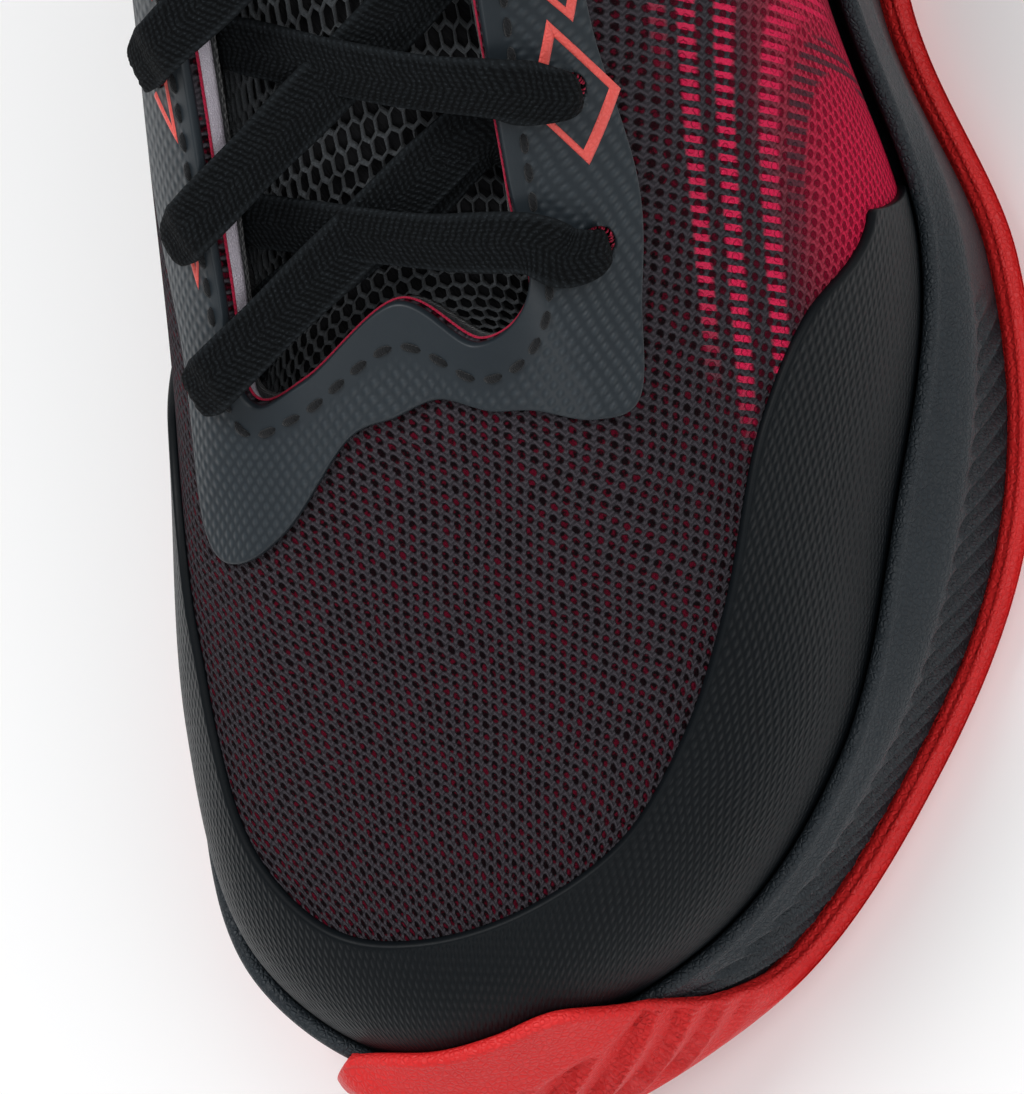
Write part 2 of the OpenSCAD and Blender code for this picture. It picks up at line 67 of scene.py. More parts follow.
# ---------------------------------------------------------------- camera
# Azimuth and elevation of the view, its roll, the point looked at and the
# distance; the shoe is seen from above, leaning to the lateral side.
VIEW_AZ, VIEW_EL, VIEW_ROLL = (math.radians(a) for a in (78.536, 71.58, -76.892))
VIEW_AT = Vector((4.745, -73.7, 49.964)) * MM
VIEW_DIST = 923.6 * MM
LENS, SENSOR = 230.3, 36.0


def make_camera():
    back = Vector((math.sin(VIEW_AZ) * math.cos(VIEW_EL),
                   -math.cos(VIEW_AZ) * math.cos(VIEW_EL), math.sin(VIEW_EL)))
    side = Vector((math.cos(VIEW_AZ), math.sin(VIEW_AZ), 0))
    up = back.cross(side)
    right = math.cos(VIEW_ROLL) * side + math.sin(VIEW_ROLL) * up
    top = -math.sin(VIEW_ROLL) * side + math.cos(VIEW_ROLL) * up
    data = bpy.data.cameras.new("camera")
    data.lens, data.sensor_width, data.sensor_fit = LENS, SENSOR, "AUTO"
    data.clip_start, data.clip_end = 0.05, 20
    cam = bpy.data.objects.new("camera", data)
    bpy.context.scene.collection.objects.link(cam)
    turn = Matrix((right, top, back)).transposed().to_4x4()
    cam.matrix_world = Matrix.Translation(VIEW_AT + back * VIEW_DIST) @ turn
    bpy.context.scene.camera = cam


make_camera()

# ---------------------------------------------------------------- surfaces
# The same stations as the CAD model, in millimetres: outsole edge, feather
# edge, two handles and top line, from the heel round the lateral side.
STATIONS = np.array([
    [[-2, 152, 9], [-2, 139, 34], [-2, 156, 74], [-2, 116, 106], [-2, 130, 153]],
    [[27, 141, 6], [22, 128, 33], [30, 140, 72], [17, 112, 106], [16, 117, 152]],
    [[40, 106, 5], [32, 99, 31], [43, 104, 66], [25, 94, 108], [25, 91, 143]],
    [[41, 60, 5], [33, 55, 28], [45, 58, 62], [29, 62, 108], [28, 62, 139]],
    [[44, 8, 6], [36, 8, 25], [47, 12, 56], [36, 22, 108], [20, 36, 146]],
    [[61, -30, 6], [50, -30, 22], [58, -33, 48], [40, -18, 88], [18, -4, 117]],
    [[64, -66, 6], [48, -68, 21], [54, -70, 44], [40, -54, 72], [18, -30, 99]],
    [[53, -100, 6], [42, -99, 22], [47, -102, 44], [36, -86, 62], [19, -44, 91]],
    [[32, -132, 8], [25, -124, 24], [27, -130, 46], [20, -108, 60], [11, -50, 86]],
    [[-3, -152, 13], [-6, -140, 26], [-7, -147, 48], [-4, -118, 60], [0, -45, 87]],
    [[-33, -140, 12], [-31, -130, 25], [-34, -134, 47], [-26, -112, 60], [-13, -55, 84]],
    [[-48, -111, 9], [-41, -104, 23], [-45, -106, 44], [-36, -90, 62], [-21, -57, 83]],
    [[-53, -70, 6], [-44, -66, 21], [-47, -68, 44], [-37, -54, 76], [-22, -41, 92]],
    [[-47, -20, 6], [-39, -22, 23], [-47, -20, 54], [-40, -12, 94], [-22, -10, 111]],
    [[-44, 34, 6], [-33, 32, 27], [-48, 36, 60], [-34, 32, 110], [-22, 36, 146]],
    [[-43, 88, 5], [-32, 84, 30], [-43, 88, 64], [-28, 84, 108], [-28, 74, 140]],
    [[-30, 140, 6], [-24, 127, 33], [-31, 139, 72], [-20, 112, 106], [-19, 117, 152]],
], float)
N_ST, TOE_U = len(STATIONS), 9
# How far up the surface each edge runs, as v: the midsole's rim at every
# station, and from its first station on, every half station, the top of the
# toe guard and the outer edge of the eyestay. Eyelets are (u, v).
RIM = np.array([0.09, 0.09, 0.10, 0.11, 0.13, 0.06, 0.10, 0.10, 0.05,
                0.08, 0.12, 0.10, 0.10, 0.10, 0.12, 0.11, 0.09])
MUD_U, MUD = 5, np.array([0.29, 0.46, 0.545, 0.583, 0.582, 0.54, 0.49, 0.468, 0.462,
                          0.457, 0.505, 0.585, 0.63, 0.61, 0.50, 0.30])
STAY_U, STAY = 3.5, np.array([0.84, 0.84, 0.83, 0.83, 0.78, 0.787, 0.80, 0.87, 0.93, 0.95, 0.95,
                              0.932, 0.93, 0.88, 0.835, 0.797, 0.80, 0.79, 0.76, 0.80, 0.82, 0.82])
EYE_L = [(5.92, 0.86), (5.32, 0.88), (4.83, 0.89), (4.44, 0.90), (4.08, 0.90)]
EYE_M = [(11.57, 0.90), (12.24, 0.90), (12.85, 0.89), (13.24, 0.90), (13.6, 0.90)]


def spline(a, b, c, d, t):
    return 0.5 * (2 * b + (c - a) * t + (2 * a - 5 * b + 4 * c - d) * t * t
                  + (3 * b - a - 3 * c + d) * t ** 3)


def ring_at(table, u):
    u = np.asarray(u, float)
    i = np.floor(u).astype(int)
    t = (u - i).reshape(u.shape + (1,) * (table.ndim - 1))
    n = len(table)
    return spline(table[(i - 1) % n], table[i % n], table[(i + 1) % n], table[(i + 2) % n], t)


def half_at(table, u0, u):
    n = len(table) - 1
    x = np.clip(2 * (np.asarray(u, float) - u0), 0, n - 0.001)
    i = np.floor(x).astype(int)
    return spline(table[np.maximum(i - 1, 0)], table[i], table[np.minimum(i + 1, n)],
                  table[np.minimum(i + 2, n)], x - i)


def upper(u, v):
    u, v = np.broadcast_arrays(np.asarray(u, float), np.asarray(v, float))
    c = ring_at(STATIONS, u)
    v = v[..., None]
    w = 1 - v
    return (w ** 3 * c[..., 1, :] + 3 * w * w * v * c[..., 2, :]
            + 3 * w * v * v * c[..., 3, :] + v ** 3 * c[..., 4, :])


def unit(a):
    return a / np.maximum(np.linalg.norm(a, axis=-1, keepdims=True), 1e-9)


def upper_n(u, v, e=0.002):
    v = np.clip(v, e, 1 - e)
    return unit(np.cross(upper(u, v + e) - upper(u, v - e), upper(u + e, v) - upper(u - e, v)))


def on_upper(u, v, t):
    return upper(u, v) + np.asarray(t, float)[..., None] * upper_n(u, v)


def circle(n):
    return np.linspace(0, 2 * math.pi, n, endpoint=False)


def power(x, p):
    """x to a power, with its sign kept; it squares off a circle."""
    return np.sign(x) * np.abs(x) ** p


def curve(points, k):
    """Catmull-Rom curve through points, at positions k along their list."""
    n = len(points)
    i = np.clip(k.astype(int), 0, n - 2)
    f = (k - i).reshape((-1,) + (1,) * (points.ndim - 1))
    return spline(points[np.maximum(i - 1, 0)], points[i], points[i + 1],
                  points[np.minimum(i + 2, n - 1)], f)


def arc_of(points):
    return np.concatenate([[0], np.cumsum(np.linalg.norm(np.diff(points, axis=0), axis=1))])


def sample(at, arc, points):
    return np.stack([np.interp(at, arc, points[:, x]) for x in range(3)], -1)


# ---------------------------------------------------------------- mesh tools
def add_mesh(name, co_mm, faces, mat, body="root", slot=None, marks=None):
    """A mesh piece from points in millimetres; marks are named per-point values."""
    me = bpy.data.meshes.new(name)
    me.from_pydata((np.asarray(co_mm, float).reshape(-1, 3) * MM).tolist(), [], faces)
    for key, values in (marks or {}).items():
        values = np.asarray(values, np.float32)
        kind = "FLOAT_VECTOR" if values.ndim == 2 else "FLOAT"
        layer = me.attributes.new(key, kind, "POINT")
        layer.data.foreach_set("vector" if kind == "FLOAT_VECTOR" else "value", values.ravel())
    me.materials.append(mat)
    me.update()
    me.polygons.foreach_set("use_smooth", [True] * len(me.polygons))
    obj = bpy.data.objects.new(name, me)
    bpy.context.scene.collection.objects.link(obj)
    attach(obj, body)
    return obj


def solid(*args):
    """The same for a closed piece, with all its faces turned outward."""
    obj = add_mesh(*args)
    bm = bmesh.new()
    bm.from_mesh(obj.data)
    bmesh.ops.recalc_face_normals(bm, faces=bm.faces)
    bm.to_mesh(obj.data)
    bm.free()
    return obj


def shell(outer, inner, drop=None):
    """Points and faces of a closed solid between two grids; drop marks faces left out."""
    n, m = outer.shape[:2]
    base = n * m
    j, i = np.meshgrid(np.arange(n - 1), np.arange(m - 1), indexing="ij")
    quad = np.stack([j * m + i, (j + 1) * m + i, (j + 1) * m + i + 1, j * m + i + 1], -1)
    keep = np.ones((n - 1, m - 1), bool) if drop is None else ~drop
    ring = np.pad(keep, 1)
    faces = [quad[keep][:, ::-1], quad[keep] + base]
    for dj, di, a, b in ((-1, 0, 3, 0), (1, 0, 1, 2), (0, -1, 0, 1), (0, 1, 2, 3)):
        rim = keep & ~ring[1 + dj:n + dj, 1 + di:m + di]
        p, q = quad[rim][:, a], quad[rim][:, b]
        faces.append(np.stack([p, q, q + base, p + base], -1))
    co = np.concatenate([outer.reshape(-1, 3), inner.reshape(-1, 3)])
    return co, np.concatenate(faces).tolist()


EYELET_R = 2.5


def punch(outer, inner):
    """Opens the eyelets in two grids: faces inside go, and their rims become round."""
    n, m = outer.shape[:2]
    drop = np.zeros((n - 1, m - 1), bool)
    for e in EYE_L + EYE_M:
        c, nrm = upper(*e), upper_n(*e)
        rel = outer - c
        high = rel @ nrm
        flat = rel - high[..., None] * nrm
        d = np.where(np.abs(high) < 9, np.linalg.norm(flat, axis=-1), 99)
        here = (d[:-1, :-1] + d[1:, :-1] + d[:-1, 1:] + d[1:, 1:]) / 4 < EYELET_R
        drop |= here
        gone = np.zeros((n + 1, m + 1), int)
        gone[1:-1, 1:-1] = here
        count = gone[:-1, :-1] + gone[1:, :-1] + gone[:-1, 1:] + gone[1:, 1:]
        edge = (count > 0) & (count < 4)
        for grid in (outer, inner):
            rel = grid[edge] - c
            h = (rel @ nrm)[:, None] * nrm
            grid[edge] = c + unit(rel - h) * EYELET_R + h
    return drop


def weave_coords(co):
    """Fabric coordinates in millimetres: across and along the shoe, and height."""
    turn = np.arctan2(co[:, 0] + 1, np.maximum(co[:, 2] - 12, 1))
    return np.stack([turn * 58, co[:, 1] + 0.35 * np.maximum(co[:, 2] - 60, 0), co[:, 2]], -1)


def ring_faces(n, m, closed=False):
    """Faces round n rings of m points, joined end to end or capped."""
    faces = [[j * m + i, j * m + (i + 1) % m, (j + 1) % n * m + (i + 1) % m, (j + 1) % n * m + i]
             for j in range(n if closed else n - 1) for i in range(m)]
    if not closed:
        faces += [list(range(m))[::-1], [(n - 1) * m + i for i in range(m)]]
    return faces


def band(name, u0, u1, lo, hi, t_in, t_out, mat, slot, nu=200, nv=60, round_mm=0, holes=False):
    """A layer of the upper between two edges; round_mm rounds its outer rims."""
    u = np.linspace(u0, u1, nu)[:, None]
    lo = np.broadcast_to(np.asarray(lo(u[:, 0]) if callable(lo) else lo, float), (nu,))[:, None]
    hi = np.broadcast_to(np.asarray(hi(u[:, 0]) if callable(hi) else hi, float), (nu,))[:, None]
    s = np.linspace(0, 1, nv)[None, :]
    if round_mm:
        s = 0.5 - 0.5 * np.cos(math.pi * s) * (1 - 0.25 * np.sin(math.pi * s) ** 2)
    v = lo + (hi - lo) * s
    u = np.broadcast_to(u, v.shape)
    thick = np.full(v.shape, float(t_out - t_in))
    flat = np.zeros(v.shape)
    if round_mm:
        mid = upper(u, v)
        step = np.linalg.norm(np.diff(mid, axis=1), axis=-1)
        arc = np.concatenate([np.zeros((nu, 1)), np.cumsum(step, 1)], 1)
        near = np.minimum(arc, arc[:, -1:] - arc)
        side = np.linalg.norm(np.diff(mid, axis=0), axis=-1)
        along = np.concatenate([np.zeros((1, nv)), np.cumsum(side, 0)], 0)
        near = np.minimum(near, np.minimum(along, along[-1:] - along))
        x = np.clip(near / round_mm, 0, 1)
        flat = np.clip(1 - (near - 0.5) / 0.6, 0, 1)
        flat = np.maximum(flat, np.clip((v - 0.958) / 0.012, 0, 1))
        thick = thick * (0.25 + 0.75 * np.sqrt(1 - (1 - x) ** 2))
    t0 = np.full(v.shape, float(t_in))
    t1 = t0 + thick
    out, inn = on_upper(u, v, t1), on_upper(u, v, t0)
    co, faces = shell(out, inn, punch(out, inn) if holes else None)
    marks = {"mm": weave_coords(co), "flat": np.tile(flat.ravel(), 2)}
    return add_mesh(name, co, faces, mat, "root", slot, marks)


def tube(name, path, radius, mat, slot, sides=8):
    """A round thread along a path."""
    tan = unit(np.gradient(path, axis=0))
    a = unit(np.cross(tan, [0.3, 0.2, 0.93]))
    b = np.cross(tan, a)
    ang = circle(sides)
    ring = a[:, None] * np.cos(ang)[None, :, None] + b[:, None] * np.sin(ang)[None, :, None]
    co = (path[:, None] + radius * ring).reshape(-1, 3)
    return solid(name, co, ring_faces(len(path), sides), mat, "root", slot)


# ---------------------------------------------------------------- materials
class Nodes:
    """A short way to write a material's node tree."""

    def __init__(self, name, rough=0.6, spec=0.4, **fixed):
        self.mat = bpy.data.materials.new(name)
        self.mat.use_nodes = True
        self.tree = self.mat.node_tree
        self.tree.nodes.clear()
        self.out = self.new("ShaderNodeOutputMaterial")
        self.bsdf = self.new("ShaderNodeBsdfPrincipled")
        self.link(self.bsdf.outputs[0], self.out.inputs[0])
        self.bsdf.inputs["Roughness"].default_value = rough
        self.bsdf.inputs["Specular IOR Level"].default_value = spec
        for key, value in fixed.items():
            self.bsdf.inputs[key.replace("_", " ")].default_value = value

    def new(self, kind, **props):
        node = self.tree.nodes.new(kind)
        for key, value in props.items():
            setattr(node, key, value)
        return node

    def link(self, a, b):
        self.tree.links.new(a, b)

    def put(self, socket, value):
        if isinstance(value, bpy.types.NodeSocket):
            self.link(value, socket)
        elif isinstance(value, (tuple, list)) and len(value) == 3 and socket.type == "RGBA":
            socket.default_value = (*value, 1)
        else:
            socket.default_value = value

    def math(self, op, a, b=0.0, c=0.0, clamp=False):
        node = self.new("ShaderNodeMath", operation=op, use_clamp=clamp)
        for socket, value in zip(node.inputs, (a, b, c)):
            self.put(socket, value)
        return node.outputs[0]

    def add(self, a, b):
        return self.math("ADD", a, b)

    def sub(self, a, b):
        return self.math("SUBTRACT", a, b)

    def mul(self, a, b, clamp=False):
        return self.math("MULTIPLY", a, b, clamp=clamp)

    def mad(self, a, b, c, clamp=False):
        return self.math("MULTIPLY_ADD", a, b, c, clamp)

    def size(self, a):
        return self.math("ABSOLUTE", a)

    def mix(self, f, a, b):
        node = self.new("ShaderNodeMix", data_type="RGBA")
        self.put(node.inputs["Factor"], f)
        self.put(node.inputs[6], a)
        self.put(node.inputs[7], b)
        return node.outputs[2]

    def attr(self, name):
        return self.new("ShaderNodeAttribute", attribute_name=name)

    def split(self, vector):
        node = self.new("ShaderNodeSeparateXYZ")
        self.link(vector, node.inputs[0])
        return node.outputs

    def place(self):
        """Position in millimetres."""
        coord = self.new("ShaderNodeTexCoord").outputs["Object"]
        scale = self.new("ShaderNodeVectorMath", operation="SCALE")
        self.link(coord, scale.inputs[0])
        scale.inputs["Scale"].default_value = 1000
        return scale.outputs[0]

    def noise(self, vector, scale, detail=3, rough=0.55):
        node = self.new("ShaderNodeTexNoise")
        self.link(vector, node.inputs["Vector"])
        node.inputs["Scale"].default_value = scale
        node.inputs["Detail"].default_value = detail
        node.inputs["Roughness"].default_value = rough
        return node.outputs["Fac"]

    def cells(self, vector, scale, feature="F1"):
        node = self.new("ShaderNodeTexVoronoi", feature=feature)
        self.link(vector, node.inputs["Vector"])
        node.inputs["Scale"].default_value = scale
        return node.outputs["Distance"]

    def ramp(self, f, low, high, a=0.0, b=1.0):
        node = self.new("ShaderNodeMapRange", interpolation_type="SMOOTHSTEP")
        for socket, value in zip(node.inputs, (f, low, high, a, b)):
            self.put(socket, value)
        return node.outputs[0]

    def bump(self, height, dist_mm, strength=1.0):
        node = self.new("ShaderNodeBump")
        node.inputs["Strength"].default_value = strength
        node.inputs["Distance"].default_value = dist_mm * MM
        self.link(height, node.inputs["Height"])
        self.link(node.outputs[0], self.bsdf.inputs["Normal"])

    def colour(self, value):
        self.put(self.bsdf.inputs["Base Color"], value)

    def rough(self, value):
        self.put(self.bsdf.inputs["Roughness"], value)


def wave(n, x, period, shift=0.0):
    """1 at whole periods of x, 0 halfway."""
    a = n.mad(x, 2 * math.pi / period, shift)
    return n.mad(n.math("COSINE", a), 0.5, 0.5)


HOLE_W, HOLE_L = 1.32, 1.70


def knit_material():
    """Grey yarn loops in columns over a crimson base. The base shows through
    staggered holes; on the lateral side bars of crimson loops run in columns,
    and the yarn itself turns crimson towards the rear edge of the toe guard."""
    n = Nodes("knit", rough=0.88, spec=0.07)
    mm = n.split(n.attr("mm").outputs["Vector"])
    drift = n.mul(n.sub(n.noise(n.place(), 0.045, 2), 0.5), 3.0)
    across, along = n.add(mm[0], drift), mm[1]
    q = n.math("DIVIDE", across, HOLE_W)
    odd = n.math("MODULO", n.size(n.math("FLOOR", q)), 2)
    cx = n.sub(n.math("FRACT", q), 0.5)
    row = n.add(n.math("DIVIDE", along, HOLE_L), n.mul(odd, 0.5))
    cy = n.sub(n.math("FRACT", row), 0.5)
    jig = n.mul(n.sub(n.noise(n.place(), 1.3, 2), 0.5), 0.30)
    tilt = n.add(n.mad(cy, 0.45, cx), jig)
    r = n.math("SQRT", n.add(n.math("POWER", n.mul(tilt, 1.12), 2),
                              n.math("POWER", n.mul(n.add(cy, jig), 0.92), 2)))
    hole = n.ramp(r, 0.40, 0.24)
    # Each loop leans: a V of two legs between the holes
    leg = wave(n, n.add(along, n.mul(n.size(cx), 1.5)), HOLE_L / 2)
    strand = wave(n, n.add(across, n.mul(cy, 0.8)), HOLE_W / 2)
    fibre = n.noise(n.place(), 5.0, 4, 0.65)
    shade = n.mad(leg, 0.45, n.mul(fibre, 0.75))
    place = n.split(n.place())
    # Crimson yarn rises towards the lateral side
    side = n.mad(place[1], 0.15, n.mad(place[2], -0.05, place[0]))
    side = n.add(side, n.mul(jig, 3.0))
    hot = n.ramp(side, 34.5, 45.5)
    deep_hot = n.ramp(side, 22.0, 40.0)
    grey = n.mix(shade, (0.004, 0.0040, 0.0055), (0.066, 0.058, 0.068))
    warm = n.mix(shade, (0.34, 0.003, 0.025), (0.98, 0.014, 0.090))
    yarn = n.mix(n.mul(hot, 0.94), grey, warm)
    speck = n.noise(n.place(), 0.9, 2)
    floor_red = n.mix(n.mul(n.ramp(speck, 0.45, 0.62), 0.9),
                      (0.004, 0.0004, 0.0014), (0.085, 0.0012, 0.010))
    base = n.mix(hot, n.mix(deep_hot, floor_red, (0.075, 0.001, 0.010)), (0.30, 0.002, 0.026))
    colour = n.mix(hole, yarn, base)
    # Columns of crimson bars down the shoe, one bar a row, and one dark column
    bar_y = n.ramp(wave(n, n.mad(jig, 0.8, place[1]), HOLE_L), 0.42, 0.62)
    sway = n.mad(jig, 1.1, place[0])
    bar = 0.0
    for at, strength, fade in ((35.2, 0.45, -10.0), (37.6, 0.85, -46.0),
                               (40.6, 1.0, -54.0), (44.1, 1.0, -58.0)):
        wide = n.ramp(n.size(n.sub(sway, at)), 0.95, 0.5, 0.0, strength)
        bar = n.math("MAXIMUM", bar, n.mul(wide, n.ramp(place[1], fade - 10, fade + 6)))
    bar = n.mul(bar, n.mul(bar_y, n.ramp(place[2], 40.0, 52.0)))
    dark = n.ramp(n.size(n.sub(sway, 46.2)), 0.85, 0.55, 0.0, 0.85)
    dark = n.mul(dark, n.mul(bar_y, n.ramp(place[1], -40.0, -24.0)))
    colour = n.mix(dark, colour, (0.060, 0.030, 0.040))
    n.colour(n.mix(n.mul(bar, n.mad(fibre, 0.5, 0.6), clamp=True),
                   colour, (0.86, 0.022, 0.10)))
    ridge = n.mad(leg, 0.35, n.mul(strand, 0.25))
    depth = n.sub(n.mad(bar, 0.25, ridge), n.mul(hole, 1.2))
    n.bump(n.mad(fibre, 0.4, depth), 0.45)
    return n.mat


def film_material(name, painted_light_gain, spec):
    """Dark slate film over a weave: fine slanted dimples, gone in the rolled strip. Its gain scales every
    colour as painted light; a gain below 1 is painted shade.
    """
    n = Nodes(name, rough=0.45, spec=spec)
    mm = n.split(n.attr("mm").outputs["Vector"])
    drift = n.mul(n.sub(n.noise(n.place(), 0.05, 2), 0.5), 3.0)
    a = n.add(n.mad(mm[1], 0.42, mm[0]), drift)
    b = n.add(n.mad(mm[1], -0.75, mm[0]), drift)
    peak = n.mul(wave(n, a, 1.4), wave(n, b, 1.4))
    peak = n.mul(peak, n.sub(1.0, n.attr("flat").outputs["Fac"]))
    fine = n.noise(n.place(), 3.0, 3)
    mottle = n.noise(n.place(), 0.08, 3)

    # tone scales a colour by the gain: painted light and painted shade, not a different film
    def tone(*rgb):
        return tuple(painted_light_gain * x for x in rgb)
    low = n.mix(mottle, tone(0.0125, 0.0175, 0.0225), tone(0.018, 0.025, 0.031))
    n.colour(n.mix(n.mul(peak, 0.40), low, tone(0.044, 0.057, 0.067)))
    n.rough(n.mad(n.noise(n.place(), 0.7), 0.16, 0.36))
    n.bump(n.mad(fine, 0.14, peak), 0.15)
    return n.mat


def grain_material(name, low, high, cell=1.5, depth=0.10, rough=0.5, spec=0.4):
    """Moulded skin with a fine leather or pebble grain and slight mottling."""
    n = Nodes(name, rough=rough, spec=spec)
    place = n.place()
    grain = n.cells(place, cell, "DISTANCE_TO_EDGE")
    lump = n.ramp(grain, 0.0, 0.28)
    mottle = n.noise(place, 0.12, 4)
    n.colour(n.mix(n.mad(lump, 0.35, n.mul(mottle, 0.65)), low, high))
    n.rough(n.mad(mottle, 0.2, rough - 0.1))
    n.bump(n.mad(n.noise(place, 1.1), 0.4, lump), depth)
    return n.mat


def cloth_material(name, dark, light, period=0.7, depth=0.2, sheen=0.1, spec=0.2):
    """Plain weave: warp and weft threads over each other."""
    n = Nodes(name, rough=0.85, spec=spec, Sheen_Weight=sheen, Sheen_Roughness=0.5)
    p = n.split(n.place())
    a = wave(n, n.add(p[0], p[2]), period)
    b = wave(n, n.sub(p[1], p[2]), period)
    weave = n.math("MAXIMUM", a, b)
    fibre = n.noise(n.place(), 6, 3)
    n.colour(n.mix(n.mad(fibre, 0.6, n.mul(weave, 0.4)), dark, light))
    n.bump(n.mad(fibre, 0.3, weave), depth)
    return n.mat


def lace_material():
    """Flat woven lace: fine flecked ribs across it and a stitched edge."""
    n = Nodes("lace", rough=0.85, spec=0.10)
    m = n.split(n.attr("lace").outputs["Vector"])
    wander = n.mul(n.sub(n.noise(n.place(), 1.2, 3), 0.5), 1.1)
    slant = n.add(n.mad(n.size(m[1]), 0.5, m[0]), wander)
    rib = wave(n, slant, 0.92)
    cord = wave(n, n.add(m[1], n.mul(wander, 0.4)), 0.62)
    fibre = n.noise(n.place(), 4.5, 5, 0.7)
    fleck = n.ramp(fibre, 0.50, 0.72)
    weave = n.mul(rib, n.mad(cord, 0.7, 0.3))
    rim = n.ramp(n.size(m[1]), 3.1, 3.5)
    tone = n.add(n.mul(weave, n.mad(fleck, 0.75, 0.25)),
                  n.mul(rim, 0.15))
    n.colour(n.mix(tone, (0.0014, 0.0018, 0.0022), (0.034, 0.041, 0.047)))
    n.bump(n.mad(fibre, 0.6, n.mul(weave, 0.8)), 0.24)
    return n.mat


# ---------------------------------------------------------------- upper
GAP, KNIT_T, FILM_T, COLLAR_PAD = 0.4, 1.3, 0.8, 6.0
FOAM_OUT, FOAM_IN = -1.7, -3.2
LINING_OUT, LINING_IN = -3.6, -4.6
UNDER_LINING = -5.0
CUP_IN, CUP_T, RUBBER_T, SOCK_T = 1.5, 2.4, 4.0, 4.5
KNIT_A, KNIT_B, THROAT_A, THROAT_B = 2.6, 14.4, 3.9, 13.9
PAD_V = 0.62


def swell(v):
    return COLLAR_PAD * np.sin(math.pi * np.clip((v - PAD_V) / (1 - PAD_V), 0, 1))


KNIT = knit_material()
# One film in two copies: the toe guard's is darkened to about a quarter as painted shade on its low,
# side-facing walls, and the eyestay's, which faces up, keeps the full colour as painted light.
SHADED_FILM = film_material("film", 0.26, 0.11)
LIT_STAY_FILM = film_material("lit_stay_film", 1.0, 0.34)
LACE = lace_material()
MIDSOLE = grain_material("midsole_skin", (0.012, 0.016, 0.020), (0.025, 0.033, 0.040), 1.35, 0.13, 0.5, 0.30)
RUBBER = grain_material("red_rubber", (0.60, 0.016, 0.017), (0.78, 0.030, 0.030), 1.2, 0.09, 0.42, 0.24)
PANEL = cloth_material("panel_cloth", (0.012, 0.015, 0.019), (0.040, 0.048, 0.056), 0.9, 0.22)
LINING = cloth_material("lining_cloth", (0.008, 0.008, 0.009), (0.032, 0.033, 0.036), 0.6, 0.16, 0.2)
FOAM = grain_material("white_foam", (0.48, 0.42, 0.50), (0.70, 0.66, 0.72), 3.0, 0.12, 0.85, 0.2)
THREAD = cloth_material("dark_thread", (0.010, 0.011, 0.013), (0.045, 0.047, 0.052), 0.35, 0.08)
DARK_THREAD = cloth_material("black_thread", (0.0015, 0.0017, 0.002), (0.012, 0.013, 0.015), 0.35, 0.08)
RED_THREAD = cloth_material("red_thread", (0.14, 0.003, 0.012), (0.55, 0.016, 0.065), 0.35, 0.08)
TPU = grain_material("moulded_tpu", (0.016, 0.019, 0.024), (0.028, 0.033, 0.040), 2.0, 0.05, 0.33, 0.5)
STIFF = grain_material("stiffener", (0.55, 0.52, 0.45), (0.72, 0.69, 0.60), 1.0, 0.08, 0.8, 0.2)
PRINT = grain_material("coral_print", (0.70, 0.075, 0.062), (0.86, 0.13, 0.11), 1.4, 0.05, 0.45, 0.4)

knit = band("knit_shell", KNIT_A, KNIT_B, 0, 1, -KNIT_T, 0.0, KNIT, "knit", 700, 150, holes=True)
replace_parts(knit, "knit_upper")


def mud_top(u):
    top = half_at(MUD, MUD_U, u)
    top = np.where(u < MUD_U, 0.05 + (u - 4.8) * 1.2, top)
    return np.where(u > 12.5, 0.3 - (u - 12.5) * 0.6, top)


# The toe guard takes the film copy darkened as painted shade.
toe = band("toe_guard", 4.8, 12.9, 0.01, mud_top, GAP - 0.4, GAP + FILM_T,
           SHADED_FILM, "film", 500, 90, round_mm=0.6)
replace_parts(toe, "toe_overlay")
# The eyestay takes the film copy left bright as painted light.
stay = band("eyestay", THROAT_A, THROAT_B, lambda u: half_at(STAY, STAY_U, u), 1, GAP - 0.4,
            GAP + FILM_T, LIT_STAY_FILM, "film", 640, 64, round_mm=0.5, holes=True)
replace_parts(stay, "eyestay_overlay")
foam = band("throat_foam_edge", THROAT_A + 0.05, THROAT_B - 0.05, 0.84,
            lambda u: 0.992 + 0.013 * np.clip((u - 10.9) / 0.5, 0, 1), FOAM_IN - 0.2, FOAM_OUT + 0.3,
            FOAM, "white_foam", 500, 40, round_mm=0.5, holes=True)
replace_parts(foam, "throat_foam")
vamp = band("vamp_lining_cloth", THROAT_A, THROAT_B, 0.04, 0.998, LINING_IN, LINING_OUT + 0.2,
            LINING, "lining", 420, 80, holes=True)
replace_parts(vamp, "vamp_lining")
heel = band("heel_quarter", KNIT_B - 0.02, KNIT_A + N_ST + 0.02, 0, 0.995, -KNIT_T, 0.55,
            PANEL, "panel_fabric", 260, 110, round_mm=1.2)
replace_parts(heel, "heel_panel")
cup = band("heel_clip", 15.2, 18.8, 0.16, lambda u: 0.24 + 0.14 * np.cos((u - 17) * math.pi / 4),
           GAP, GAP + 2, TPU, "tpu", 160, 40, round_mm=2.0)
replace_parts(cup, "heel_cup")


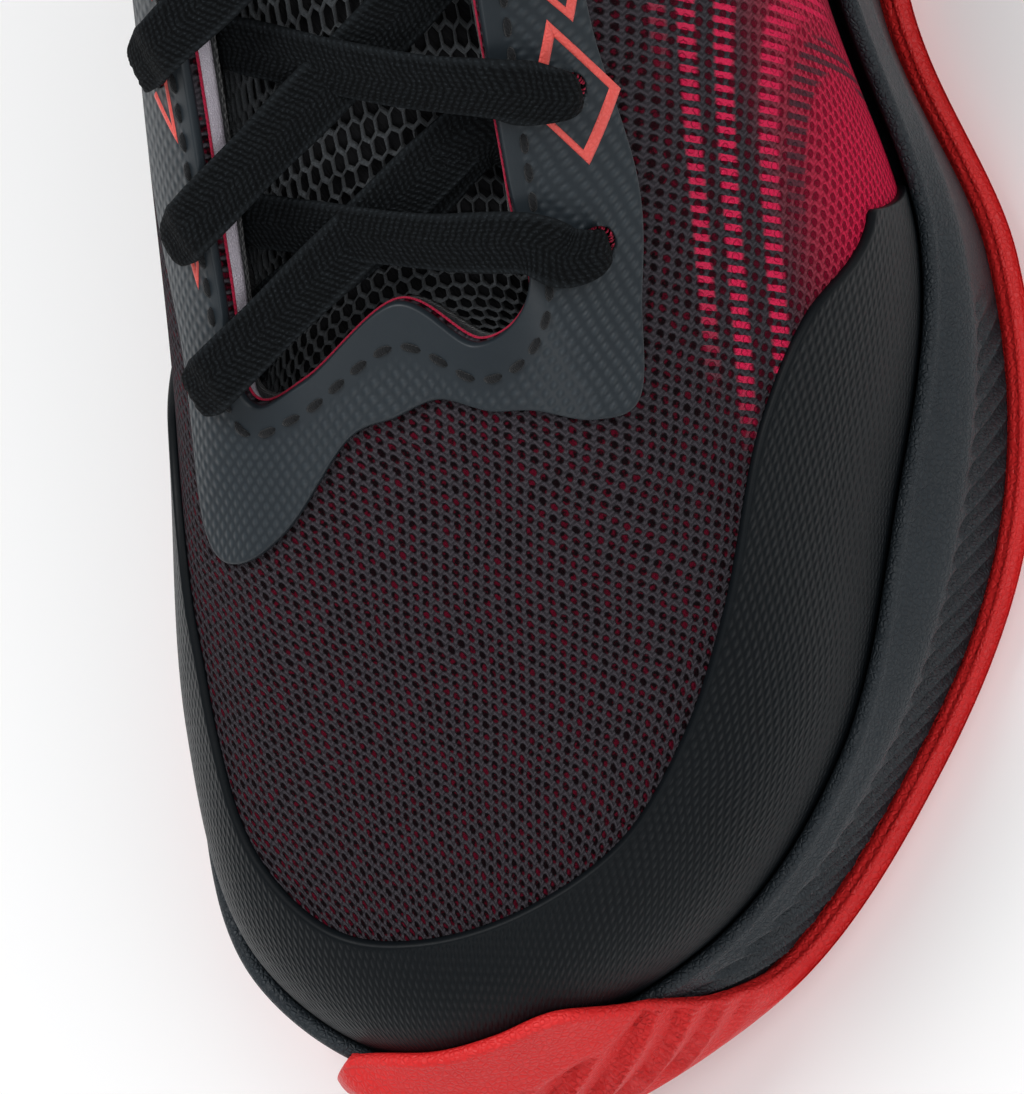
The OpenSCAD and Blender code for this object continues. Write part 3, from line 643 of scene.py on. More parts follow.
def stitches(name, uv, t, mat, slot, length=2.3, space=1.0, radius=0.38, sink=0.25):
    """A row of thread stitches along a path on the upper."""
    uv = np.asarray(uv, float)
    k = np.linspace(0, len(uv) - 1, 40 * len(uv))
    line = curve(uv, k)
    pts, nrm = on_upper(line[:, 0], line[:, 1], t), upper_n(line[:, 0], line[:, 1])
    arc = arc_of(pts)
    co, faces = [], []
    ang = circle(8)
    for start in np.arange(0.3, arc[-1] - length, length + space):
        a = np.linspace(start, start + length, 7)
        c, n = sample(a, arc, pts), unit(sample(a, arc, nrm))
        d = unit(c[-1] - c[0])
        side = unit(np.cross(n, d))
        s = np.linspace(-1, 1, 7)
        r = radius * np.sqrt(np.clip(1 - np.abs(s) ** 2.6, 0.02, 1))
        c = c - n * (sink * np.abs(s) ** 3)[:, None]
        ring = (c[:, None] + r[:, None, None] * (side[:, None] * np.cos(ang)[:, None]
                + 0.8 * n[:, None] * np.sin(ang)[:, None]))
        base = sum(len(x) for x in co)
        co.append(ring.reshape(-1, 3))
        faces += [[base + x for x in face] for face in ring_faces(7, 8)]
    return solid(name, np.concatenate(co), faces, mat, "root", slot)


# The row beside the throat edge, inside the eyelets at the toe end
throat_row = [(6.0, 0.963), (6.6, 0.966), (6.98, 0.97), (7.49, 0.972), (8.15, 0.975), (8.96, 0.975),
              (10.05, 0.975), (10.92, 0.968), (11.3, 0.963), (11.57, 0.96)]
lat_side = [(u, 0.963) for u in np.linspace(4.0, 5.8, 10)]
med_side = [(u, 0.96) for u in np.linspace(11.8, 13.8, 10)]
stitches("throat_stitch", lat_side + throat_row + med_side, GAP + FILM_T + 0.15, DARK_THREAD, "film",
         length=2.9, space=1.1, radius=0.55)


def on_line(u0, u1, v, t, n=400):
    return on_upper(np.linspace(u0, u1, n), v, t)


tube("throat_edge_thread", on_line(THROAT_A + 0.03, THROAT_B - 0.03, 1.0, -1.25, 700), 0.24,
     RED_THREAD, "knit")


def fringe(name, mat):
    """Cut yarn ends round each eyelet, seeded so that they repeat."""
    rng = np.random.default_rng(7)
    co, faces = [], []
    for e in EYE_L + EYE_M:
        c, n = upper(*e), upper_n(*e)
        a = unit(np.cross(n, [0.2, 1, 0.1]))
        b = np.cross(n, a)
        for ang in circle(34):
            ang = ang + rng.uniform(-0.08, 0.08)
            out = a * math.cos(ang) + b * math.sin(ang)
            start = c + out * (EYELET_R + 0.1) + n * 0.15
            tip = c + out * (EYELET_R - rng.uniform(0.5, 1.1)) + n * rng.uniform(0.3, 1.3)
            turn = np.cross(out, n)
            base = sum(len(x) for x in co)
            ring = [turn * 0.16, n * 0.16, -turn * 0.16, -n * 0.16]
            co.append(np.array([start + r for r in ring] + [(start + tip) / 2 + n * 0.3 + r for r in ring]
                               + [tip + r * 0.5 for r in ring]))
            faces += [[base + x for x in face] for face in ring_faces(3, 4)]
    return solid(name, np.concatenate(co), faces, mat, "root", "knit")


fringe("eyelet_fringe", RED_THREAD)


def outline_print(name, corners, width=1.25, close=True):
    """A flat printed line along corners on the eyestay, mitred in the surface."""
    c = np.array(corners, float)
    mid = c.mean(0)
    e = 0.01
    du = np.linalg.norm(upper(mid[0] + e, mid[1]) - upper(mid[0] - e, mid[1])) / (2 * e)
    dv = np.linalg.norm(upper(mid[0], mid[1] + e) - upper(mid[0], mid[1] - e)) / (2 * e)
    p = c * [du, dv]
    n = len(p)
    inner, outer = [], []
    for i in range(n):
        d0 = unit(p[i] - p[i - 1]) if close or i > 0 else unit(p[1] - p[0])
        d1 = unit(p[(i + 1) % n] - p[i]) if close or i < n - 1 else d0
        n0, n1 = np.array([-d0[1], d0[0]]), np.array([-d1[1], d1[0]])
        bis = unit(n0 + n1)
        miter = width / 2 / max(0.35, float(bis @ n0))
        inner.append(p[i] + bis * miter)
        outer.append(p[i] - bis * miter)
    grid = []
    for i in range(n if close else n - 1):
        k = (i + 1) % n
        for s in np.linspace(0, 1, 24, endpoint=not close and i == n - 2):
            a = inner[i] * (1 - s) + inner[k] * s
            b = outer[i] * (1 - s) + outer[k] * s
            grid.append([a * (1 - w) + b * w for w in (0, 0.25, 0.5, 0.75, 1)])
    if close:
        grid.append(grid[0])
    g = np.array(grid) / [du, dv]
    u, v = g[..., 0], g[..., 1]
    top = GAP + FILM_T
    lift = np.array([0.02, 0.16, 0.17, 0.16, 0.02])
    co, faces = shell(on_upper(u, v, top + lift), on_upper(u, v, top - 0.3))
    return solid(name, co, faces, PRINT, "root", "film")


# Printed outlines round the lateral eyelets but the lowest, and narrow
# chevrons beside the medial ones
for k, e in enumerate(EYE_L[1:]):
    wide = 1 if k < 1 else 0.85
    outline_print(f"print_lateral_{k + 1}",
                  [(e[0] - 0.20 * wide, 0.897), (e[0] - 0.13 * wide, 0.807 + 0.02 * (k > 0)),
                   (e[0] + 0.23 * wide, 0.865), (e[0] + 0.18 * wide, 0.94)], 1.5)
for k, corners in enumerate(([(12.31, 0.899), (12.06, 0.925), (12.30, 0.975)],
                             [(12.78, 0.874), (12.61, 0.933), (12.86, 0.926)],
                             [(13.20, 0.874), (13.06, 0.925), (13.26, 0.930)])):
    outline_print(f"print_medial_{k + 1}", corners, 1.0, close=False)


# ---------------------------------------------------------------- sole
def edge(u):
    return ring_at(STATIONS, u)[..., 0, :]


def feather(u):
    return ring_at(STATIONS, u)[..., 1, :]


def inset(p, d):
    c = p.copy()
    c[..., 0] = -2
    c[..., 1] = np.clip(p[..., 1], -85, 100)
    a = c - p
    return p + a * d / np.maximum(np.linalg.norm(a, axis=-1, keepdims=True), 0.01)


def with_z(p, z):
    p = p.copy()
    p[..., 2] = z
    return p


def mix(a, b, w):
    w = np.asarray(w)[..., None] if np.ndim(w) else w
    return (1 - w) * a + w * b


def rim(u, t):
    return on_upper(u, ring_at(RIM, u), t)


def toe_wrap(u):
    return np.exp(-np.abs((u - 8.85) / 0.77) ** 6)


def ground(u):
    return edge(u)[..., 2] - 5


def sole_z(u):
    return np.maximum(0, ground(u)) + RUBBER_T


WRAP_T = 2.6


def wall_foot(u):
    return with_z(inset(edge(u), 4.8), sole_z(u) + GAP)


def wrap_top(u, t):
    return rim(u, CUP_IN + CUP_T + 2 * GAP + t) + [0, 0, 2]


HALF = 420
US = np.concatenate([np.linspace(0, TOE_U, HALF, endpoint=False),
                     np.linspace(TOE_U, N_ST, HALF, endpoint=False)])


def smooth_rings(rings, steps):
    """Catmull-Rom rings between the given ones; steps is how many per gap."""
    rings = np.array(rings)
    out = []
    for k in range(len(rings) - 1):
        n = steps[k] if isinstance(steps, (list, tuple)) else steps
        p = [rings[max(k - 1, 0)], rings[k], rings[k + 1], rings[min(k + 2, len(rings) - 1)]]
        for t in np.linspace(0, 1, n, endpoint=False):
            out.append(spline(*p, t))
    out.append(rings[-1])
    return np.array(out)


def stack(name, rings, mat, slot, cap=24, shape_low=None):
    """Closed solid from rings round the shoe, its ends filled by rungs of points."""
    rings = np.asarray(rings)
    r, n = rings.shape[:2]
    co = [rings.reshape(-1, 3)]
    i, k = np.meshgrid(np.arange(r - 1), np.arange(n), indexing="ij")
    q = (k + 1) % n
    faces = [np.stack([i * n + k, i * n + q, (i + 1) * n + q, (i + 1) * n + k], -1).reshape(-1, 4)]
    count = r * n
    half = n // 2
    tri = []
    for ring, low in ((0, True), (r - 1, False)):
        kk = np.arange(1, half)
        a, b = rings[ring][kk], rings[ring][(n - kk) % n]
        w = np.linspace(0, 1, cap + 1)[1:-1]
        grid = a[:, None] * (1 - w)[None, :, None] + b[:, None] * w[None, :, None]
        if low and shape_low is not None:
            grid = shape_low(grid)
        ids = count + np.arange(grid.shape[0] * grid.shape[1]).reshape(grid.shape[:2])
        count += ids.size
        co.append(grid.reshape(-1, 3))
        full = np.concatenate([(ring * n + kk)[:, None], ids, (ring * n + (n - kk) % n)[:, None]], 1)
        cell = np.stack([full[:-1, :-1], full[1:, :-1], full[1:, 1:], full[:-1, 1:]], -1).reshape(-1, 4)
        faces.append(cell[:, ::-1] if low else cell)
        heel_fan = [ring * n] + full[0].tolist()
        toe_fan = [ring * n + half] + full[-1].tolist()[::-1]
        tri += [heel_fan[::-1] if low else heel_fan, toe_fan[::-1] if low else toe_fan]
    faces = np.concatenate(faces).tolist() + tri
    return solid(name, np.concatenate(co), faces, mat, "root", slot)


def bump_at(x, width):
    return np.exp(-(x / width) ** 2)


def midsole_rings():
    u = US
    w = toe_wrap(u)
    r = rim(u, CUP_IN + CUP_T)
    a = wall_foot(u)
    b = mix(with_z(inset(edge(u), 4.1), sole_z(u) + 2.6), 0.8 * a + 0.2 * r, w)
    c = mix(0.55 * with_z(inset(edge(u), 2.4), 15) + 0.45 * r + [0, 0, 1], 0.4 * a + 0.6 * r, w)
    wall = smooth_rings([a, b, c, r], [10, 34, 40])
    # Outward direction of the wall
    d_ring = np.roll(wall, -1, 1) - np.roll(wall, 1, 1)
    d_up = np.gradient(wall, axis=0)
    out = -unit(np.cross(d_ring, d_up))
    x, y, z = wall[..., 0], wall[..., 1], wall[..., 2]
    lateral = np.clip((x - 8) / 14, 0, 1) * (1 - w[None, :])
    # A crease runs from the heel side forward and down; ribs fill the wall under it
    crest_y = np.array([-150, -129, -118, -103, -89, -72, -56, -41, -20, 10, 60, 150])
    crest_z = np.array([26.0, 25.5, 25, 23.5, 22.5, 21.5, 20.5, 19.5, 22, 24, 25, 24])
    crest = np.interp(y, crest_y, crest_z)
    under = np.clip((crest - z) / 2.2, 0, 1)
    rib_zone = under * np.clip((y + 137) / 6, 0, 1) * np.clip((-34 - y) / 8, 0, 1) * lateral
    slant = (y + 0.55 * z) / 3.6
    saw = slant - np.floor(slant)
    rib = np.where(saw < 0.72, saw / 0.72, (1 - saw) / 0.28)
    height = rib_zone * (rib - 0.75) * 1.9
    height += 0.35 * bump_at(z - crest - 0.6, 2.2) * lateral * np.clip((y + 137) / 6, 0, 1)
    # The medial wall and the heel carry the same ribs, shallower
    medial = np.clip((-x - 10) / 14, 0, 1) * (1 - w[None, :])
    med_zone = np.clip((20 - z) / 2.2, 0, 1) * medial
    med_zone = med_zone * np.clip((y + 120) / 8, 0, 1) * np.clip((90 - y) / 10, 0, 1)
    height += med_zone * (rib - 0.75) * 0.8
    foot = np.clip((z - sole_z(u)[None, :] - 1.0) / 2.0, 0, 1)
    top_fade = np.clip((np.linalg.norm(wall - wall[-1], axis=-1)) / 3, 0, 1)
    wall = wall + out * (height * foot * top_fade)[..., None]
    # Rounded lip over the rim and down inside
    lip = []
    inner = rim(u, CUP_IN)
    up = unit(upper(u, ring_at(RIM, u) + 0.02) - upper(u, ring_at(RIM, u)))
    for ang in np.linspace(0, math.pi, 9)[1:-1]:
        f = 0.5 - 0.5 * math.cos(ang)
        lip.append(r * (1 - f) + inner * f + up * 1.3 * math.sin(ang))
    low_in = on_upper(u, 0.01, CUP_IN)
    bed = with_z(inset(feather(u), 0.5), feather(u)[:, 2] - 4)
    return np.concatenate([[with_z(inset(edge(u), 9.4), sole_z(u) + GAP)], wall, lip, [inner, low_in, bed]])


mid = stack("midsole_cup", midsole_rings(), MIDSOLE, "foam_shell")
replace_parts(mid, "midsole")


def tread(grid):
    """Herringbone grooves in the outsole's underside, clear of its edge and arch."""
    x, y = grid[..., 0], grid[..., 1]
    zig = np.abs(((x + 3) / 22) % 1 - 0.5) * 2
    phase = ((y + 9 * zig) / 5.2) % 1
    groove = np.clip((np.abs(phase - 0.5) - 0.27) / 0.06, 0, 1)
    n = grid.shape[1]
    side = np.minimum(np.arange(n), n - 1 - np.arange(n)) / n
    inside = np.clip((side - 0.05) / 0.02, 0, 1)[None, :]
    ends = np.clip((y + 138) / 4, 0, 1) * np.clip((140 - y) / 4, 0, 1)
    pod = np.clip((np.hypot(x - 2, (y + 62)) - 24) / 1.2, 0, 1)
    ring = 1 - np.clip((np.abs(np.hypot(x - 2, y + 62) - 24) - 0.9) / 0.5, 0, 1)
    swirl = np.clip((np.abs((np.hypot(x - 2, y + 62) / 5.0) % 1 - 0.5) - 0.3) / 0.06, 0, 1)
    grid[..., 2] += 1.6 * inside * ends * np.maximum(ring, pod * groove + (1 - pod) * swirl)
    return grid


BUMP_U, BUMP = 8, np.array([0.05, 0.12, 0.235, 0.233, 0.215, 0.185, 0.125, 0.06, 0.04])
BUMP_T = 2.2


def bump_top(u, t):
    return on_upper(u, half_at(BUMP, 0, 2 * (u - BUMP_U)), CUP_IN + t)


def outsole_rings():
    u = US
    w = toe_wrap(u)
    # The bumper's medial end tucks in under the midsole
    e = inset(edge(u), 2.4 * np.exp(-((u - 9.72) / 0.3) ** 2)[:, None])

    def lip(d, z):
        return with_z(inset(e, d), sole_z(u) + z)

    def climb(low, beside, over):
        return mix(low, mix(beside, over, np.maximum(0, 2 * w - 1)), np.minimum(1, 1.25 * w))

    down = np.stack([0 * w, -1.2 * w, 0 * w + 1], -1)
    over_rim = on_upper(u, ring_at(RIM, u) + 0.045, CUP_IN - 0.1)
    walls = [with_z(inset(e, 2), np.maximum(0, ground(u) - 1.5)), e,
             mix(lip(0.3, 1), mix(e, wrap_top(u, WRAP_T), 0.45) + down, w),
             mix(lip(0.8, 1.5), wrap_top(u, WRAP_T), w),
             climb(lip(1.4, 1.8), wrap_top(u, 0.8 * WRAP_T) + [0, 0, 0.6], bump_top(u, BUMP_T - 0.2))]
    wall = smooth_rings(walls, [8, 14, 10, 20])
    d_ring = np.roll(wall, -1, 1) - np.roll(wall, 1, 1)
    out = -unit(np.cross(d_ring, np.gradient(wall, axis=0)))
    x, z = wall[..., 0], wall[..., 2]
    # The bumper swells between its edges, most of all at its medial end
    round_up = np.sin(math.pi * np.clip((z - 9) / 27, 0, 1))
    swell_by = w * (1.0 + 2.6 * np.exp(-((u - 9.55) / 0.28) ** 2))
    wall = wall + out * (swell_by[None, :] * round_up)[..., None]
    # Slanted facets and one long groove across the toe bumper
    zone = w[None, :] * np.clip((z - 12) / 3, 0, 1) * np.clip((33 - z) / 2, 0, 1)
    phase = ((x - 1.1 * (z - 20)) / 9.0) % 1
    step = np.where(phase < 0.82, phase / 0.82, (1 - phase) / 0.18)
    across = np.clip((30 - np.abs(x - 6)) / 5, 0, 1)
    wall = wall - out * (2.2 * zone * across * step)[..., None]
    a = wall[-1]
    b = climb(lip(2.4, 1.8), wrap_top(u, 0.3 * WRAP_T) + [0, 0, 0.6], bump_top(u, -0.25))
    turn = []
    top = half_at(BUMP, 0, 2 * (u - BUMP_U))
    lift = unit(upper(u, top + 0.03) - upper(u, top))
    lift = mix(np.broadcast_to(np.array([0, 0, 1.0]), lift.shape), lift, w)
    for ang in np.linspace(0, math.pi, 9)[1:-1]:
        f = 0.5 - 0.5 * math.cos(ang)
        turn.append(a * (1 - f) + b * f + lift * (0.3 + 0.75 * w[:, None]) * math.sin(ang))
    rest = [b, climb(lip(3, 1.7), wrap_top(u, 0.1) + [0, 0, 0.3], over_rim),
            mix(lip(3.6, 1.6), wrap_top(u, 0), w), lip(4.2, 0), lip(9, 0)]
    return np.concatenate([[with_z(inset(e, 9), np.maximum(0, ground(u) - 3))], wall, turn, rest])


out = stack("outsole_rubber", outsole_rings(), RUBBER, "red_rubber", cap=170, shape_low=tread)
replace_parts(out, "outsole")


# ---------------------------------------------------------------- tongue
TONGUE_DEPTH, SPLIT, T_END, T_START = -8.4, 1.12, 1.9, -0.22
TONGUE_L, TONGUE_W = 68.0, 58.0
RISE, SLOPE = np.array([0.0, 17, 29]), np.array([0.0, 56, 20])


def tongue(s, w):
    s, w = np.broadcast_arrays(np.asarray(s, float), np.asarray(w, float))
    c = np.clip(s, 0, 1)
    ul, um = 6.9 - 3.0 * c, 11.1 + 2.7 * c
    above = np.maximum(0, s - 1)
    side = 12 * np.clip(s - 0.85, 0, 0.3) - 16 * np.maximum(0, s - 1.35)
    zero = 0 * s
    flat = np.stack([zero, zero, 10 * np.clip((s - 1.15) / 0.35, 0, 1)], -1)
    dip = np.stack([zero, zero, -1.6 * np.exp(-(s / 0.3) ** 2)], -1)
    l0, l1 = on_upper(ul, zero + 0.86, zero + TONGUE_DEPTH), on_upper(ul, zero + 1, zero + TONGUE_DEPTH + 1.6)
    m0, m1 = on_upper(um, zero + 0.86, zero + TONGUE_DEPTH), on_upper(um, zero + 1, zero + TONGUE_DEPTH + 1.6)
    reach = (0.22 * np.minimum(1, 2 * np.maximum(0, s)))[..., None]
    move = np.stack([side, zero, zero], -1)
    p = [m0 + flat + move, m1 + reach * (m1 - m0), l1 + reach * (l1 - l0), l0 + flat - move]
    v = w[..., None]
    x = 1 - v
    return (x ** 3 * p[0] + 3 * x * x * v * p[1] + 3 * x * v * v * p[2] + v ** 3 * p[3]
            + dip + above[..., None] * RISE + np.minimum(0, s)[..., None] * SLOPE)


def tongue_n(s, w, es=0.14, e=0.004):
    return unit(np.cross(tongue(s, w + e) - tongue(s, w - e), tongue(s + es, w) - tongue(s - es, w)))


def on_tongue(s, w, t):
    return tongue(s, w) + np.asarray(t, float)[..., None] * tongue_n(s, w)


SPACER = cloth_material("spacer_yarn", (0.022, 0.025, 0.028), (0.105, 0.115, 0.125), 0.30, 0.06, 0.1, 0.35)
SPACER_BASE = cloth_material("spacer_base", (0.003, 0.003, 0.0035), (0.012, 0.012, 0.014), 0.8, 0.15, 0.05)
WEB = cloth_material("red_webbing", (0.30, 0.006, 0.02), (0.62, 0.02, 0.05), 1.1, 0.25)


def hex_mesh(name, s0, s1, cell_x=2.0, cell_y=2.9, strut=0.15):
    """Spacer mesh of the tongue: yarn round every six-sided cell, in two heights."""
    length, width = TONGUE_L, TONGUE_W
    co, faces = [], []
    index = {}

    def corner(x, y):
        key = (round(x, 3), round(y, 3))
        if key not in index:
            index[key] = len(co)
            co.append((x, y, 0.42))
            co.append((x, y, -0.75))
        return index[key]

    rows_n = int((s1 - s0) * length / (cell_y * 0.75)) + 1
    cols_n = int(width / cell_x) + 1
    base_row = int(round(s0 * length / (cell_y * 0.75)))
    for r in range(rows_n):
        yc = (base_row + r) * cell_y * 0.75
        for q in range(-cols_n // 2, cols_n // 2 + 1):
            xc = (q + 0.5 * ((base_row + r) % 2)) * cell_x
            if abs(xc) > width / 2 - 0.8 or not s0 * length - 0.4 < yc < s1 * length - 0.6:
                continue
            hx, hy = cell_x / 2, cell_y / 2
            ring = [(0, hy), (hx, hy / 2), (hx, -hy / 2), (0, -hy), (-hx, -hy / 2), (-hx, hy / 2)]
            outer = [corner(xc + a, yc + b) for a, b in ring]
            k = 1 - strut / hx
            inner = []
            for a, b in ring:
                inner.append(len(co))
                co.append((xc + a * k, yc + b * k, 0.05))
                co.append((xc + a * k, yc + b * k, -0.45))
            for i in range(6):
                j = (i + 1) % 6
                a, b, c, d = outer[i], outer[j], inner[j], inner[i]
                faces.append([a, b, c, d])
                faces.append([d, c, c + 1, d + 1])
                faces.append([d + 1, c + 1, b + 1, a + 1])
    co = np.array(co)
    rng = np.random.default_rng(3)
    jig = rng.uniform(-0.10, 0.10, (len(co) // 2, 2))
    co[:, :2] += np.repeat(jig, 2, 0)
    s, w = co[:, 1] / length, 0.5 + co[:, 0] / width
    pts = on_tongue(s, w, co[:, 2] - 0.25)
    return pts, faces


def tongue_piece(obj):
    """Takes a tongue piece off its body and bakes its place into the mesh."""
    obj.parent = None
    if "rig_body" in obj:
        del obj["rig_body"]
    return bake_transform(obj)


pts, faces = hex_mesh("tongue_spacer", T_START, T_END)
mesh = solid("tongue_spacer", pts, faces, SPACER, "root", "spacer_mesh")
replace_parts(mesh, "tongue_mesh", "tongue_top_mesh")
tongue_piece(mesh)


def tongue_pad(name):
    """Foam and lining of the tongue as one soft form, crowned, with quilted channels."""
    ns, nw = 230, 90
    s = np.linspace(T_START + 0.01, T_END - 0.01, ns)[:, None]
    w = np.linspace(0.012, 0.988, nw)[None, :]
    from_side = np.minimum(w, 1 - w) * TONGUE_W
    from_end = np.minimum(s - T_START, T_END - s) * TONGUE_L
    near = np.minimum(from_side, from_end)
    puff = np.sqrt(np.clip(1 - (1 - np.clip(near / 5.0, 0, 1)) ** 2, 0, 1))
    # Sewn channels across the lining side
    channel_gap = 17
    y = s * TONGUE_L / channel_gap
    channel = np.exp(-((y % 1 - 0.5) * channel_gap / 1.6) ** 2) * np.clip(near / 6, 0, 1)
    top = -3.0 + 1.75 * puff
    low = -3.4 - (2.3 - 1.0 * channel) * puff
    s, w = np.broadcast_arrays(s, w)
    co, faces = shell(on_tongue(s, w, top + 0 * s), on_tongue(s, w, low + 0 * s))
    return solid(name, co, faces, SPACER_BASE, "root", "lining")


pad = tongue_pad("tongue_padding")
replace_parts(pad, "tongue_foam", "tongue_lining", "tongue_top_foam", "tongue_top_lining")
tongue_piece(pad)


def binding(name):
    """Fabric edge tape round the tongue, stitched down."""
    side = np.linspace(T_START, T_END, 150)
    across = np.linspace(0.01, 0.99, 60)
    left = np.stack([side, 0 * side + 0.005], -1)
    top = np.stack([0 * across + T_END, across], -1)
    right = np.stack([side[::-1], 0 * side + 0.995], -1)
    path = np.concatenate([left, top, right])
    c = on_tongue(path[:, 0], path[:, 1], -2.2)
    n = tongue_n(path[:, 0], path[:, 1])
    tan = unit(np.gradient(c, axis=0))
    out = unit(np.cross(tan, n))
    centre = c.mean(0)
    out = np.where(((c - centre) * out).sum(-1, keepdims=True) < 0, -out, out)
    ang = circle(16)
    ring = np.cos(ang)[None, :, None] * out[:, None] * 0.75 + np.sin(ang)[None, :, None] * n[:, None] * 2.9
    co = (c[:, None] + ring).reshape(-1, 3)
    return solid(name, co, ring_faces(len(c), 16), LINING, "root", "lining")


tongue_piece(binding("tongue_edge_tape"))

# ---------------------------------------------------------------- lace
LACE_W, LACE_T = 8.0, 1.4
TOP_T, LOW_T = GAP + FILM_T + 2.1, LINING_IN - 1.9
TUCK_L, TUCK_M = (4.3, 0.56), (13.42, 0.56)
UP = np.array([0, -0.55, 0.83])


def edge_u(e, a, b):
    """Where the throat edge on e's side meets the line from a to b, seen from above."""
    def turn(u):
        d, c = b - a, upper(u, 1) - a
        return d[0] * c[1] - d[1] * c[0]
    lo, hi = (THROAT_A - 0.4, 7.6) if e[0] < TOE_U else (10.4, THROAT_B + 0.4)
    for _ in range(16):
        m = (lo + hi) / 2
        lo, hi = (m, hi) if turn(m) * turn(lo) > 0 else (lo, m)
    return (lo + hi) / 2


def lace_pt(u, v, t, d, sgn, share):
    return (on_upper(u, v, t), sgn * unit(np.cross(upper_n(u, v), d)), share)


def strap(a, b, sgn, lift):
    pa, pb = upper(*a), upper(*b)
    d = unit(pb - pa)
    ua, ub = edge_u(a, pa, pb), edge_u(b, pa, pb)
    p, q = on_upper(ua, 1, TOP_T + 0.3), on_upper(ub, 1, LOW_T)
    w = sgn * unit(np.cross(UP, d))
    return [lace_pt(a[0], a[1], TOP_T, d, sgn, 0.68),
            lace_pt((a[0] + ua) / 2, (a[1] + 1) / 2, TOP_T + 0.2, d, sgn, 1),
            lace_pt(ua, 1, TOP_T + 0.3, d, sgn, 1),
            (0.72 * p + 0.28 * q + UP * lift, w, 1), (0.45 * p + 0.55 * q + UP * lift * 0.9, w, 1),
            (0.2 * p + 0.8 * q + UP * lift * 0.3, w, 1),
            lace_pt(ub, 1, LOW_T, d, sgn, 0.95),
            lace_pt((b[0] + ub) / 2, (b[1] + 1) / 2, LOW_T - 0.1, d, sgn, 0.7),
            lace_pt(b[0], b[1], LOW_T, d, sgn, 0.42), lace_pt(b[0], b[1], -1.5, d, sgn, 0.42)]


def tucked(b, tuck, d, sgn):
    return [lace_pt(b[0], 0.9, LOW_T, d, sgn, 0.9),
            lace_pt((b[0] + tuck[0]) / 2, 0.78, LOW_T - 0.3, d, sgn, 0.8),
            lace_pt(tuck[0], 0.66, LOW_T - 0.3, d, sgn, 0.6),
            lace_pt(tuck[0], tuck[1] + 0.01, LOW_T - 0.3, d, sgn, 0.3)]


def strand(first, second, r, sgn, lift_a, lift_b, tuck_a, tuck_b):
    a, b = first[r], second[r + 1]
    s = strap(a, b, sgn, lift_a)
    if r >= len(EYE_L) - 2:
        return s[:7] + tucked(b, tuck_b, unit(upper(*b) - upper(*a)), sgn)
    return s + strand(second, first, r + 1, -sgn, lift_b, lift_a, tuck_b, tuck_a)


def lace_route():
    lat = strand(EYE_L, EYE_M, 0, -1, 1.6, -0.8, TUCK_L, TUCK_M)
    med = strand(EYE_M, EYE_L, 0, 1, -0.8, 1.6, TUCK_M, TUCK_L)
    a, b = EYE_M[0], EYE_L[0]
    d = unit(upper(b[0], 1) - upper(a[0], 1))
    p, q = on_upper(a[0], 1, LOW_T), on_upper(b[0], 1, LOW_T)
    w = unit(np.cross(UP, d))
    lift = np.array([0, -0.8, 1.8])
    bar = [lace_pt(a[0], a[1], -1.5, d, 1, 0.38), lace_pt(a[0], a[1], LOW_T + 0.4, d, 1, 0.42),
           lace_pt(a[0], 1, LOW_T, d, 1, 0.9),
           (0.65 * p + 0.35 * q + lift, w, 1), (0.35 * p + 0.65 * q + lift, w, 1),
           lace_pt(b[0], 1, LOW_T, d, 1, 0.9),
           lace_pt(b[0], b[1], LOW_T + 0.4, d, 1, 0.42), lace_pt(b[0], b[1], -1.5, d, 1, 0.38)]
    return med[::-1] + bar + lat


def flat_lace(name):
    """Flat tubular lace: soft rounded edges, a slight crown, bunched in the eyelets."""
    route = lace_route()
    n = len(route)
    pos = np.array([r[0] for r in route])
    wid = np.array([r[1] for r in route])
    share = np.array([r[2] for r in route])
    step = 14
    k = np.linspace(0, n - 1, (n - 1) * step + 1)
    i = np.clip(k.astype(int), 0, n - 2)
    f = (k - i)[:, None]
    p, sh = curve(pos, k), curve(share, k)
    w = unit(wid[i] * (1 - f) + wid[i + 1] * f)
    arc = arc_of(p)
    even = np.arange(0, arc[-1], 0.45)
    p, w = sample(even, arc, p), unit(sample(even, arc, w))
    sh = np.interp(even, arc, sh)
    for _ in range(9):
        p[1:-1] = 0.25 * p[:-2] + 0.5 * p[1:-1] + 0.25 * p[2:]
    t = unit(np.gradient(p, axis=0))
    w = unit(w - (w * t).sum(-1, keepdims=True) * t)
    h = np.cross(t, w)
    wave_w = 1 + 0.025 * np.sin(even / 7.3) + 0.02 * np.sin(even / 3.1 + 1)
    half_w = LACE_W / 2 * sh * wave_w
    half_h = LACE_T / 2 * (1 + 0.9 * (1 - np.clip(sh, 0, 1)))
    m = 40
    ang = circle(m)
    cx, cy = power(np.cos(ang), 0.62), power(np.sin(ang), 0.80)
    rib = 1 + 0.06 * np.cos(cx * 4 * math.pi)
    a = half_w[:, None] * cx[None, :]
    b = half_h[:, None] * (cy * rib)[None, :]
    # Ribs across the weave stand slightly proud
    chev = np.cos((even[:, None] + 0.8 * np.abs(a)) * 2 * math.pi / 1.05)
    b = b + 0.05 * chev * cy[None, :]
    crown = 0.35 * (1 - cx ** 2)[None, :] * sh[:, None]
    co = p[:, None] + a[..., None] * w[:, None] + (b + crown - 0.17)[..., None] * h[:, None]
    mark = np.stack([np.broadcast_to(even[:, None], a.shape), a, b], -1).reshape(-1, 3)
    return solid(name, co, ring_faces(len(p), m), LACE, "root", "lace", {"lace": mark})


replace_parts(flat_lace("shoelace_flat"), "shoelace")


